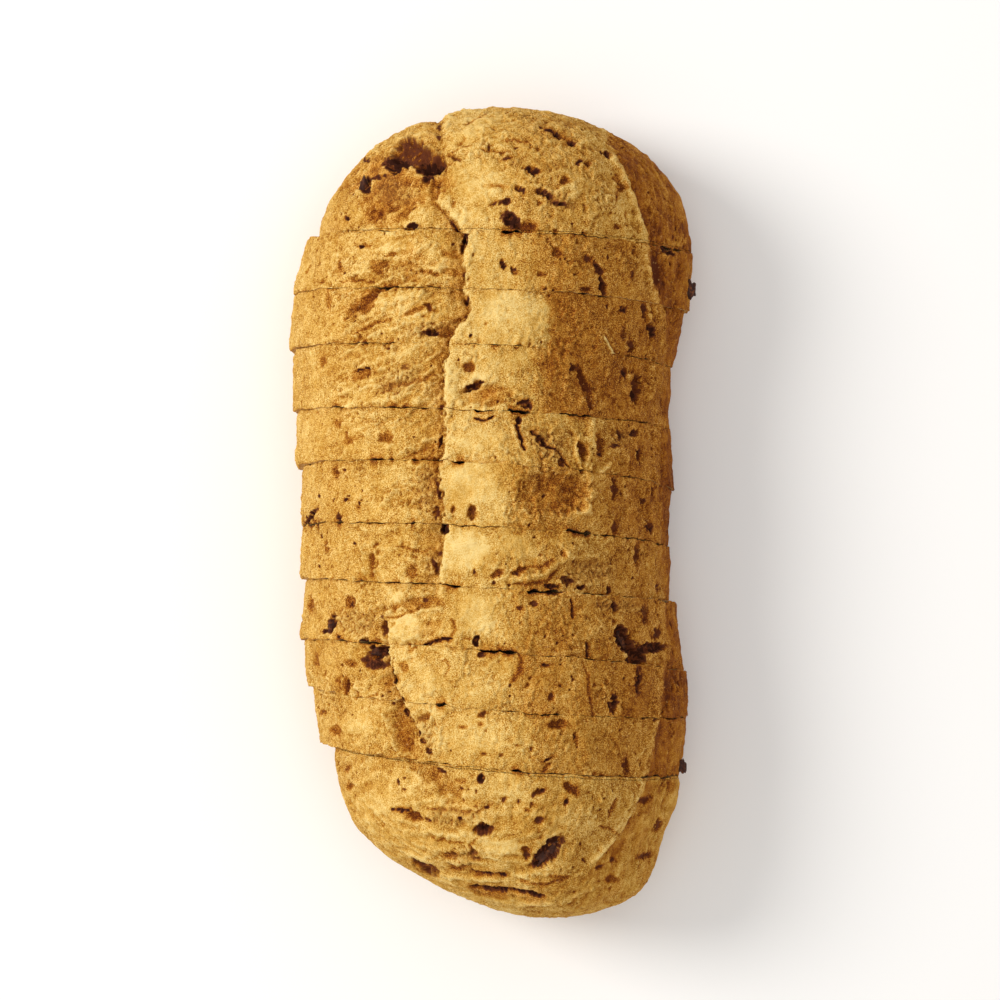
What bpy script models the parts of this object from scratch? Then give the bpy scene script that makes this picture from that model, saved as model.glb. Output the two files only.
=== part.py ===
# Vegetable bread: a two-lobed oval loaf, cut across into nine slices and two heels
# that still stand together in the loaf's shape.
#
# Sizes and places below are in millimetres: X across the loaf, Y along it, Z up.
# The slices are numbered from the far heel (+Y) to the near heel (-Y).

import math

import bmesh
import bpy
from mathutils import Matrix, Vector, noise
from mathutils.bvhtree import BVHTree

MM = 0.001

# The loaf as a whole
CREST_HEIGHT = 75.0
CREST_FALL = 6.0  # how much lower the crest is at the tips than at mid length
HALF_LENGTH = 111.0
CREST_SHARE = 0.53  # where the crest lies, as a share of the way from left to right
CUT_GAP = 0.3
BOX_MIDDLE = (0.1, -0.2, 0.0)  # middle of the base of the loaf's box, in the sizes here

# The two flanks: the height at which each is widest, how far the base is set in under
# it, and the two powers that round the crust between there and the crest
LEFT_FLANK = {"height": 27.0, "tuck": 11.0, "across": 2.4, "up": 2.0}
RIGHT_FLANK = {"height": 20.0, "tuck": 7.0, "across": 1.8, "up": 1.5}

# The ten cuts: place along the loaf at its middle, turn about Z and lean, in degrees
CUTS = (
    (73.8, -1.8, -0.5),
    (58.3, -2.1, 0.0),
    (43.2, -2.1, 1.0),
    (25.8, -2.4, 0.5),
    (11.2, -2.9, 3.0),
    (-5.5, -2.9, 2.5),
    (-21.3, -3.5, 1.0),
    (-38.4, -4.6, 2.5),
    (-53.1, -4.8, -1.0),
    (-68.8, -5.6, -0.5),
)
LEAN_PIVOT = 60.0  # height of the line that a leaning cut turns about

# The nine slices: reach to the left at the far and near cut, to the right at the far
# and near cut, and how much each stands above or below the crest line
SLICES = (
    (-51.4, -55.3, 56.0, 55.2, 0.3),
    (-54.8, -56.4, 54.0, 50.4, -0.2),
    (-54.8, -55.5, 50.0, 49.4, 0.1),
    (-54.2, -54.8, 49.6, 51.0, -0.3),
    (-52.8, -53.2, 50.2, 49.2, 0.4),
    (-52.7, -53.2, 49.7, 49.5, 0.0),
    (-51.4, -53.4, 51.6, 53.4, -0.4),
    (-51.7, -51.2, 54.3, 54.9, 0.2),
    (-49.4, -47.6, 54.5, 52.4, -0.2),
)

# The heels: reach at the cut, tip of the rounded end, where the outline starts to drift
# to the side the tip is on, and the powers that round the left, right and top of it
FAR_HEEL = {
    "left": -47.8,
    "right": 55.6,
    "tip": (1.6, 111.4, 34.0),
    "drift_start": 0.36,
    "round_left": 1.9,
    "round_right": 2.3,
    "round_top": 2.1,
}
NEAR_HEEL = {
    "left": -43.5,
    "right": 52.3,
    "tip": (16.8, -111.8, 33.0),
    "drift_start": 0.4,
    "round_left": 2.08,
    "round_right": 2.02,
    "round_top": 2.1,
}
UNDERCUT_START = 0.5  # share of a heel's depth that still rests flat

# The split between the lobes, from the far end: place along the loaf, place across it,
# drop of the crust there, and the width over which the left lobe dips into it
SEAM = (
    (104.0, -14.5, 2.5, 8.0),
    (85.0, -14.5, 3.5, 8.0),
    (78.0, -12.2, 4.0, 8.0),
    (70.0, -7.8, 4.6, 9.0),
    (54.0, -6.6, 4.6, 10.0),
    (47.0, -11.0, 4.3, 10.0),
    (38.0, -13.5, 4.3, 9.0),
    (13.0, -14.5, 4.3, 8.0),
    (-13.0, -13.7, 4.5, 8.0),
    (-21.0, -16.0, 4.3, 7.0),
    (-35.0, -28.0, 3.6, 5.0),
    (-46.0, -26.8, 3.6, 6.0),
    (-54.0, -22.5, 4.2, 8.0),
    (-66.0, -15.0, 4.2, 9.0),
    (-78.0, -13.5, 0.6, 9.0),
    (-95.0, -8.0, 0.0, 9.0),
)
SEAM_LIP = 1.3  # width of the steep edge on the right lobe
SEAM_LEAST_SHARE = 0.25  # nearest that the split comes to a heel's left flank

# Hollows torn or blown in the crust: place across and along, radii, depth
HOLLOWS = (
    (-19.0, 95.0, 6.5, 4.5, 3.4),
    (-35.5, 84.0, 2.6, 4.0, 1.6),
    (5.0, 75.0, 4.0, 3.2, 1.5),
    (-34.5, 55.0, 5.0, 5.0, 1.3),
    (-6.0, 46.0, 4.0, 3.0, 1.2),
    (-2.0, 31.0, 3.2, 2.6, 1.6),
    (17.0, 17.0, 5.0, 4.6, 1.4),
    (-5.5, -1.0, 2.6, 3.4, 1.8),
    (22.0, -17.0, 8.5, 4.0, 1.6),
    (-44.0, -30.0, 2.6, 3.6, 1.8),
    (-33.0, -37.0, 3.6, 3.2, 2.2),
    (35.0, -37.0, 2.6, 6.0, 2.6),
    (36.5, -49.0, 2.4, 4.0, 1.5),
    (-41.0, -53.0, 2.6, 3.2, 1.4),
    (-21.0, -82.0, 3.4, 2.6, 1.6),
    (-1.5, -86.5, 3.6, 2.8, 2.2),
    (14.5, -92.0, 5.0, 4.4, 1.6),
    (5.0, -101.5, 9.0, 2.2, 1.6),
)

# Baked vegetable pieces that stand proud of the crust: the node that each belongs to,
# place across and along, height, length, width and turn in degrees
BITS = (
    ("far_heel", -36.0, 85.0, None, 7.0, 3.4, 60),
    ("far_heel", 5.0, 77.6, None, 5.6, 4.2, 70),
    ("far_heel", 17.0, 83.5, None, 6.2, 2.2, -35),
    ("far_heel", 10.5, 90.6, None, 4.0, 2.2, -10),
    ("slice_1", 4.6, 66.6, None, 4.2, 2.6, -40),
    ("slice_1", 55.3, 61.8, 24.0, 5.4, 3.4, 80),
    ("slice_3", -2.6, 32.4, None, 5.6, 2.4, 25),
    ("slice_3", 39.0, 30.6, None, 6.4, 2.4, 80),
    ("slice_5", -5.6, -1.6, None, 4.4, 2.6, 80),
    ("slice_7", -44.6, -30.4, None, 5.0, 2.8, 75),
    ("slice_7", 35.0, -35.0, None, 6.4, 3.0, 85),
    ("slice_8", -33.6, -41.4, None, 3.6, 3.0, 20),
    ("slice_8", 33.6, -47.5, None, 4.6, 2.4, 70),
    ("slice_9", 52.8, -71.0, 24.0, 4.4, 2.8, 80),
    ("near_heel", -21.4, -82.2, None, 4.6, 2.6, -10),
    ("near_heel", -1.6, -86.4, None, 6.0, 3.6, -15),
    ("near_heel", 14.6, -93.0, None, 8.0, 4.4, 40),
)
BIT_FLATNESS = 0.7  # height of a piece against its width
BIT_PROUD = 0.35  # share of its height by which its middle stands above the crust
BIT_CLEARANCE = 0.4  # least distance from a piece to the next slice's cut

# How finely the crust is divided
SLICE_RINGS = 7
HEEL_RINGS = 15
FOOT_POINTS = 4
LEFT_LOBE_POINTS = 16
RIGHT_LOBE_POINTS = 19
BASE_POINTS = 3

# Slow bumps of the crust: height, and the distance from one to the next
BUMP_HEIGHT = 0.9
BUMP_SPACING = 11.0

CRUST_COLOUR = (0.50, 0.27, 0.075, 1.0)
CRUST_ROUGHNESS = 0.72


def clear_scene():
    for item in list(bpy.data.objects):
        bpy.data.objects.remove(item)


def make_collection(name):
    collection = bpy.data.collections.new(name)
    bpy.context.scene.collection.children.link(collection)
    return collection


def crust_material():
    material = bpy.data.materials.new("crust")
    material.use_nodes = True
    surface = material.node_tree.nodes["Principled BSDF"]
    surface.inputs["Base Color"].default_value = CRUST_COLOUR
    surface.inputs["Roughness"].default_value = CRUST_ROUGHNESS
    surface.inputs["Metallic"].default_value = 0.0
    return material


def mix(start, end, share):
    return start + (end - start) * share


def smooth_step(value):
    value = min(max(value, 0.0), 1.0)
    return value * value * (3.0 - 2.0 * value)


def along_seam(y):
    """Place across, drop and dip width of the split at one place along the loaf."""
    if y >= SEAM[0][0]:
        return SEAM[0][1:]
    for far, near in zip(SEAM, SEAM[1:]):
        if y >= near[0]:
            share = (far[0] - y) / (far[0] - near[0])
            return tuple(mix(a, b, share) for a, b in zip(far[1:], near[1:]))
    return SEAM[-1][1:]


def cut_place(cut, x, z):
    """Where a cut lies along the loaf, at one place across and one height."""
    middle, turn, lean = cut
    slope = math.tan(math.radians(turn))
    tilt = math.tan(math.radians(lean))
    return middle + slope * x + tilt * (z - LEAN_PIVOT)


def crest_at(y):
    return CREST_HEIGHT - CREST_FALL * abs(y / HALF_LENGTH) ** 2.5


def crust_height(x, left, right, crest):
    """Height of the unbroken crust over one place across the loaf."""
    middle = mix(left, right, CREST_SHARE)
    flank = LEFT_FLANK if x < middle else RIGHT_FLANK
    reach = middle - left if x < middle else right - middle
    outward = min(abs(x - middle) / reach, 1.0)
    rise = (1.0 - outward ** flank["across"]) ** (1.0 / flank["up"])
    return flank["height"] + (crest - flank["height"]) * rise


def foot(reach, tuck, height, inward):
    """The rounded foot of one flank, from the base up to where the loaf is widest."""
    points = []
    for step in range(FOOT_POINTS):
        angle = 0.5 * math.pi * step / FOOT_POINTS
        across = reach + inward * tuck * (1.0 - math.sin(angle))
        points.append((across, height * (1.0 - math.cos(angle))))
    return points


def section(left, right, crest, seam):
    """One cross-section as (x, z) points, from the left foot over the top to the right."""
    points = foot(left, LEFT_FLANK["tuck"], LEFT_FLANK["height"], 1.0)
    for step in range(LEFT_LOBE_POINTS):
        turn = 0.5 * math.pi * step / LEFT_LOBE_POINTS
        x = mix(left, seam - 0.4, 1.0 - math.cos(turn))
        points.append((x, crust_height(x, left, right, crest)))
    for x in (seam, seam + 0.5 * SEAM_LIP, seam + SEAM_LIP):
        points.append((x, crust_height(x, left, right, crest)))
    for step in range(1, RIGHT_LOBE_POINTS + 1):
        turn = 0.5 * math.pi * step / RIGHT_LOBE_POINTS
        x = mix(seam + SEAM_LIP, right, math.sin(turn))
        points.append((x, crust_height(x, left, right, crest)))
    right_foot = foot(right, RIGHT_FLANK["tuck"], RIGHT_FLANK["height"], -1.0)
    points.extend(reversed(right_foot))
    base_left = points[0][0]
    base_right = points[-1][0]
    for step in range(1, BASE_POINTS + 1):
        share = step / (BASE_POINTS + 1)
        points.append((mix(base_right, base_left, share), 0.0))
    return points


def seam_drop(x, y):
    """How far the split lowers the crust: steep on its right, gentle on its left."""
    place, drop, dip = along_seam(y)
    offset = x - place
    width = dip if offset < 0.0 else SEAM_LIP
    return drop * math.exp(-((offset / width) ** 2))


def hollow_depth(x, y):
    depth = 0.0
    for across, along, radius_x, radius_y, deep in HOLLOWS:
        distance = ((x - across) / radius_x) ** 2 + ((y - along) / radius_y) ** 2
        depth += deep * math.exp(-distance)
    return depth


def weathered(x, y, z, middle):
    """A crust point after the split, the hollows and the slow bumps have shaped it."""
    on_top = smooth_step((z - 30.0) / 25.0)
    off_base = smooth_step(z / 12.0)
    x_out = x - middle
    z_out = max(z - 25.0, 0.0)
    size = math.hypot(x_out, z_out) or 1.0
    bump = noise.noise(Vector((x, y, z)) / BUMP_SPACING) * BUMP_HEIGHT * off_base
    inward = hollow_depth(x, y) * on_top - bump
    x_new = x - x_out / size * inward
    z_new = z - z_out / size * inward - seam_drop(x, y) * on_top
    return x_new, max(z_new, 0.0)


def slice_rings(number):
    """The cross-sections of one slice, from its far cut to its near cut."""
    far_cut = CUTS[number - 1]
    near_cut = CUTS[number]
    left_far, left_near, right_far, right_near, raised = SLICES[number - 1]
    rings = []
    for step in range(SLICE_RINGS):
        share = step / (SLICE_RINGS - 1)
        left = mix(left_far, left_near, share)
        right = mix(right_far, right_near, share)
        middle_y = mix(far_cut[0], near_cut[0], share)
        crest = crest_at(middle_y) + raised
        gap = CUT_GAP * (share - 0.5)
        ring = []
        for x, z in section(left, right, crest, along_seam(middle_y)[0]):
            y = mix(cut_place(far_cut, x, z), cut_place(near_cut, x, z), share)
            x, z = weathered(x, y, z, mix(left, right, CREST_SHARE))
            y = mix(cut_place(far_cut, x, z), cut_place(near_cut, x, z), share)
            ring.append(Vector((x, y + gap, z)))
        rings.append(ring)
    return rings


def closing(depth, power):
    """How much of a heel's reach is left at a share of its depth."""
    return max(1.0 - depth ** power, 0.0) ** (1.0 / power)


def heel_section(heel, crest, seam, depth):
    """A heel's cross-section, shrunk towards its tip, at a share of the heel's depth."""
    tip_x, _, tip_z = heel["tip"]
    under = max(depth - UNDERCUT_START, 0.0) / (1.0 - UNDERCUT_START)
    under_scale = math.sqrt(1.0 - under ** 2)
    top_scale = closing(depth, heel["round_top"])
    start = heel["drift_start"]
    drift = smooth_step((depth - start) / (1.0 - start))
    cut_middle = mix(heel["left"], heel["right"], 0.5)
    middle = mix(cut_middle, tip_x, drift)
    left = middle + (heel["left"] - cut_middle) * closing(depth, heel["round_left"])
    right = middle + (heel["right"] - cut_middle) * closing(depth, heel["round_right"])
    seam_share = max((seam - left) / (right - left), SEAM_LEAST_SHARE)
    full_seam = mix(heel["left"], heel["right"], seam_share)
    points = []
    for x, z in section(heel["left"], heel["right"], crest, full_seam):
        share = (x - heel["left"]) / (heel["right"] - heel["left"])
        z_scale = top_scale if z > tip_z else under_scale
        points.append((mix(left, right, share), tip_z + (z - tip_z) * z_scale))
    return points


def heel_rings(heel, cut, side):
    """The cross-sections of a heel, from its cut to its tip, which is one point."""
    tip = heel["tip"]
    rings = []
    for step in range(HEEL_RINGS - 1):
        depth = math.sin(0.5 * math.pi * step / (HEEL_RINGS - 1))
        middle_y = mix(cut[0], tip[1], depth)
        crest = crest_at(cut[0])
        gap = 0.5 * CUT_GAP * side * (1.0 - depth)
        ring = []
        for x, z in heel_section(heel, crest, along_seam(middle_y)[0], depth):
            y = mix(cut_place(cut, x, z), tip[1], depth)
            x, z = weathered(x, y, z, tip[0])
            y = mix(cut_place(cut, x, z), tip[1], depth)
            ring.append(Vector((x, y + gap, z)))
        rings.append(ring)
    return rings


def placed(point):
    """A point in metres, counted from the middle of the base of the loaf's box."""
    return (Vector(point) - Vector(BOX_MIDDLE)) * MM


def loft(name, rings, tip=None):
    """A closed body through the rings; the last one is closed flat, or to a tip."""
    shape = bmesh.new()
    loops = [[shape.verts.new(placed(point)) for point in ring] for ring in rings]
    count = len(loops[0])
    for near, far in zip(loops, loops[1:]):
        for index in range(count):
            following = (index + 1) % count
            shape.faces.new((near[index], near[following], far[following], far[index]))
    shape.faces.new(loops[0])
    if tip is None:
        shape.faces.new(loops[-1])
    else:
        peak = shape.verts.new(placed(tip))
        for index in range(count):
            following = (index + 1) % count
            shape.faces.new((loops[-1][index], loops[-1][following], peak))
    bmesh.ops.recalc_face_normals(shape, faces=shape.faces)
    mesh = bpy.data.meshes.new(name)
    shape.to_mesh(mesh)
    shape.free()
    return mesh


def bit_mesh(length, width, seed):
    """One baked vegetable piece: a small uneven pebble of twenty faces."""
    shape = bmesh.new()
    bmesh.ops.create_icosphere(shape, subdivisions=1, radius=0.5)
    for vertex in shape.verts:
        swell = 1.0 + 0.3 * noise.noise(vertex.co * 3.0 + Vector((seed, 0.0, 0.0)))
        vertex.co = vertex.co * swell
    size = Vector((length, width, width * BIT_FLATNESS)) * MM
    bmesh.ops.scale(shape, vec=size, verts=shape.verts)
    mesh = bpy.data.meshes.new("vegetable_piece")
    shape.to_mesh(mesh)
    shape.free()
    return mesh


def inside_cuts(x, y, z, length, cuts):
    """The place along the loaf where a piece stays clear of both cuts of its slice."""
    far_cut, near_cut = cuts
    room = 0.5 * length + BIT_CLEARANCE + CUT_GAP
    if far_cut is not None:
        y = min(y, cut_place(far_cut, x, z) - room)
    if near_cut is not None:
        y = max(y, cut_place(near_cut, x, z) + room)
    return y


def crust_under(tree, x, y, z):
    """Point of the crust and its normal, seen from above, or from the side at a height."""
    if z is None:
        start, way = (x, y, 2.0 * CREST_HEIGHT), (0.0, 0.0, -1.0)
    else:
        start, way = (2.0 * x, y, z), (-x, 0.0, 0.0)
    point, normal, _, _ = tree.ray_cast(placed(start), Vector(way).normalized())
    return point, normal


def fuse_bits(body, cuts):
    """Join the vegetable pieces of this node to it with one Boolean union."""
    bpy.context.view_layer.update()
    tree = BVHTree.FromObject(body, bpy.context.evaluated_depsgraph_get())
    pieces = make_collection("vegetable_pieces")
    for seed, (node, x, y, z, length, width, turn) in enumerate(BITS):
        if node != body.name:
            continue
        y = inside_cuts(x, y, LEAN_PIVOT if z is None else z, length, cuts)
        point, normal = crust_under(tree, x, y, z)
        proud = width * BIT_FLATNESS * BIT_PROUD * MM
        lie = Vector((0.0, 0.0, 1.0)).rotation_difference(normal).to_matrix().to_4x4()
        spin = Matrix.Rotation(math.radians(turn), 4, "Z")
        piece = bpy.data.objects.new("vegetable_piece", bit_mesh(length, width, seed))
        piece.matrix_world = Matrix.Translation(point + normal * proud) @ lie @ spin
        pieces.objects.link(piece)
    if pieces.objects:
        join = body.modifiers.new("pieces", "BOOLEAN")
        join.operation = "UNION"
        join.operand_type = "COLLECTION"
        join.collection = pieces
        bpy.context.view_layer.update()
        graph = bpy.context.evaluated_depsgraph_get()
        joined = bpy.data.meshes.new_from_object(body.evaluated_get(graph))
        body.modifiers.clear()
        body.data = joined
        for piece in list(pieces.objects):
            bpy.data.objects.remove(piece)
    bpy.data.collections.remove(pieces)


def finish(body):
    body.data.shade_smooth()
    body.data.set_sharp_from_angle(angle=math.radians(50.0))


def add_body(name, rings, material, collection, cuts, tip=None):
    mesh = loft(name, rings, tip)
    mesh.materials.append(material)
    body = bpy.data.objects.new(name, mesh)
    collection.objects.link(body)
    fuse_bits(body, cuts)
    finish(body)
    return body


def build():
    clear_scene()
    loaf = make_collection("vegetable_bread")
    crust = crust_material()
    far_rings = heel_rings(FAR_HEEL, CUTS[0], 1.0)
    near_rings = heel_rings(NEAR_HEEL, CUTS[-1], -1.0)
    add_body("far_heel", far_rings, crust, loaf, (None, CUTS[0]), FAR_HEEL["tip"])
    for number in range(1, len(CUTS)):
        name = f"slice_{number}"
        cuts = (CUTS[number - 1], CUTS[number])
        add_body(name, slice_rings(number), crust, loaf, cuts)
    add_body("near_heel", near_rings, crust, loaf, (CUTS[-1], None), NEAR_HEEL["tip"])


build()
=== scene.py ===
import math

import bmesh
import bpy
import numpy as np
from mathutils import Matrix, Vector
from mathutils.bvhtree import BVHTree


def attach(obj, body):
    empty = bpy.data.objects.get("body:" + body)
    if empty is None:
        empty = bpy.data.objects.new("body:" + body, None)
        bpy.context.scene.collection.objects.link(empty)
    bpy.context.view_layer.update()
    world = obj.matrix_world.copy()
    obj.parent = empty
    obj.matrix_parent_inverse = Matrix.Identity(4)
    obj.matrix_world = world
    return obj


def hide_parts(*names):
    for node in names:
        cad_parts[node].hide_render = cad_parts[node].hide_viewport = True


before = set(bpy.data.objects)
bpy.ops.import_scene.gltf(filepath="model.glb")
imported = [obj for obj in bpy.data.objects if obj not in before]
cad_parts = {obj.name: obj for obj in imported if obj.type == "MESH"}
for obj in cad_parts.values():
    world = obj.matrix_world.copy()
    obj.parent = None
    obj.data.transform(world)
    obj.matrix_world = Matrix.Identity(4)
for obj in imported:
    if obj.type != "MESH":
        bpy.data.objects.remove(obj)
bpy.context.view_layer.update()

# Sizes are in millimetres in the loaf's own frame: X across, Y along, Z up.
MM = 0.001
BOX_MIDDLE = np.array((0.1, -0.2, 0.0))

# The loaf's form, as its solids have it
CREST_HEIGHT = 75.0
CREST_FALL = 6.0
CREST_BEND = 2.5
HALF_LENGTH = 111.0
CREST_SHARE = 0.53
LEFT_FLANK = {"height": 27.0, "tuck": 11.0, "across": 2.4, "up": 2.0}
RIGHT_FLANK = {"height": 20.0, "tuck": 7.0, "across": 1.8, "up": 1.5}
LEAN_PIVOT = 60.0
CORE_HEIGHT = 34.0  # height of the middle of a cut face

# Each cut: place along the loaf, turn about Z and lean, in degrees
CUTS = (
    (73.8, -1.8, -0.5), (58.3, -2.1, 0.0), (43.2, -2.1, 1.0), (25.8, -2.4, 0.5), (11.2, -2.9, 3.0),
    (-5.5, -2.9, 2.5), (-21.3, -3.5, 1.0), (-38.4, -4.6, 2.5), (-53.1, -4.8, -1.0),
    (-68.8, -5.6, -0.5),
)

# Each slice: reach to the left at its far and near cut, the same to the right, rise
SLICES = (
    (-51.4, -55.3, 56.0, 55.2, 0.3), (-54.8, -56.4, 54.0, 50.4, -0.2),
    (-54.8, -55.5, 50.0, 49.4, 0.1), (-54.2, -54.8, 49.6, 51.0, -0.3),
    (-52.8, -53.2, 50.2, 49.2, 0.4), (-52.7, -53.2, 49.7, 49.5, 0.0),
    (-51.4, -53.4, 51.6, 53.4, -0.4), (-51.7, -51.2, 54.3, 54.9, 0.2),
    (-49.4, -47.6, 54.5, 52.4, -0.2),
)
FAR_HEEL = {
    "left": -47.8,
    "right": 55.6,
    "tip": (1.6, 111.4, 34.0),
    "drift_start": 0.36,
    "round_left": 1.9,
    "round_right": 2.3,
    "round_top": 2.1,
}
NEAR_HEEL = {
    "left": -43.5,
    "right": 52.3,
    "tip": (16.8, -111.8, 33.0),
    "drift_start": 0.4,
    "round_left": 2.08,
    "round_right": 2.02,
    "round_top": 2.1,
}
UNDERCUT_START = 0.5

# The photograph: the camera stands over one spot of the loaf, and that spot's pixel
CAMERA_HEIGHT = 1000.0
CAMERA_SPOT = (5.0, -19.0)
SPOT_PIXEL = (510.0, 580.0)
PIXELS_PER_SLOPE = 3496.0
PHOTO_SIZE = 1000.0
PIXEL = 1.0 / 3.7  # one pixel on the crust, in millimetres

# The splits between the lobes: pixels of the photograph that each runs through and, along
# it, pixel row, drop of the crust in millimetres, and how wide in pixels the left lobe
# dips towards it and the right lobe's bank is
LONG_SPLIT = (
    (
        (437, 112), (440, 140), (439, 175), (432, 198), (445, 215), (455, 226), (464, 240),
        (460, 257), (463, 275), (462, 290), (467, 305), (465, 315), (450, 332), (447, 348),
        (441, 365), (441, 400), (441, 430), (443, 445), (437, 460), (436, 475), (440, 500),
        (440, 560), (436, 572), (434, 586), (431, 600),
    ),
    (
        (95, 2.0, 13, 13), (130, 1.8, 14, 13), (155, 0.8, 16, 16), (190, 1.0, 18, 14),
        (222, 2.6, 22, 7),
        (240, 4.0, 26, 4), (300, 4.2, 30, 4), (345, 4.2, 28, 4), (400, 3.6, 24, 5),
        (440, 3.0, 22, 6), (470, 3.4, 26, 4), (550, 3.4, 26, 4), (575, 2.8, 20, 6),
        (590, 1.4, 16, 10), (604, 0.0, 14, 10),
    ),
)
SHORT_SPLIT = (
    (
        (371, 548), (372, 565), (375, 583), (381, 600), (383, 620), (384, 640), (388, 665),
        (391, 680), (396, 700), (404, 714), (414, 735), (427, 752), (441, 772), (458, 792),
        (466, 812),
    ),
    (
        (546, 0.0, 10, 14), (556, 0.5, 10, 14), (585, 0.9, 12, 12), (600, 0.9, 12, 10),
        (620, 1.6, 12, 8), (640, 2.4, 12, 6), (700, 2.8, 16, 6), (722, 2.0, 16, 10),
        (740, 1.2, 20, 16), (775, 0.8, 24, 18), (812, 0.0, 24, 18),
    ),
)

# Pixel column where each piece's crust turns from golden to brown, how softly, how brown
# it turns there and how much browner still near the right wall; this is partly real browning and
# partly painted shade on the side away from the key lamp
BROWNING_AND_SHADE_SIDE = {
    "far_heel": (508, 30, 0.14, 0.0),
    "slice_1": (530, 30, 0.32, 0.02),
    "slice_2": (547, 4, 0.43, 0.0),
    "slice_3": (540, 16, 0.46, 0.0),
    "slice_4": (522, 18, 0.13, 0.34),
    "slice_5": (512, 18, 0.25, 0.22),
    "slice_6": (515, 30, 0.15, 0.2),
    "slice_7": (517, 30, 0.27, 0.12),
    "slice_8": (516, 8, 0.28, 0.16),
    "slice_9": (532, 7, 0.23, 0.1),
    "near_heel": (530, 10, 0.1, 0.03),
}
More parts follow.
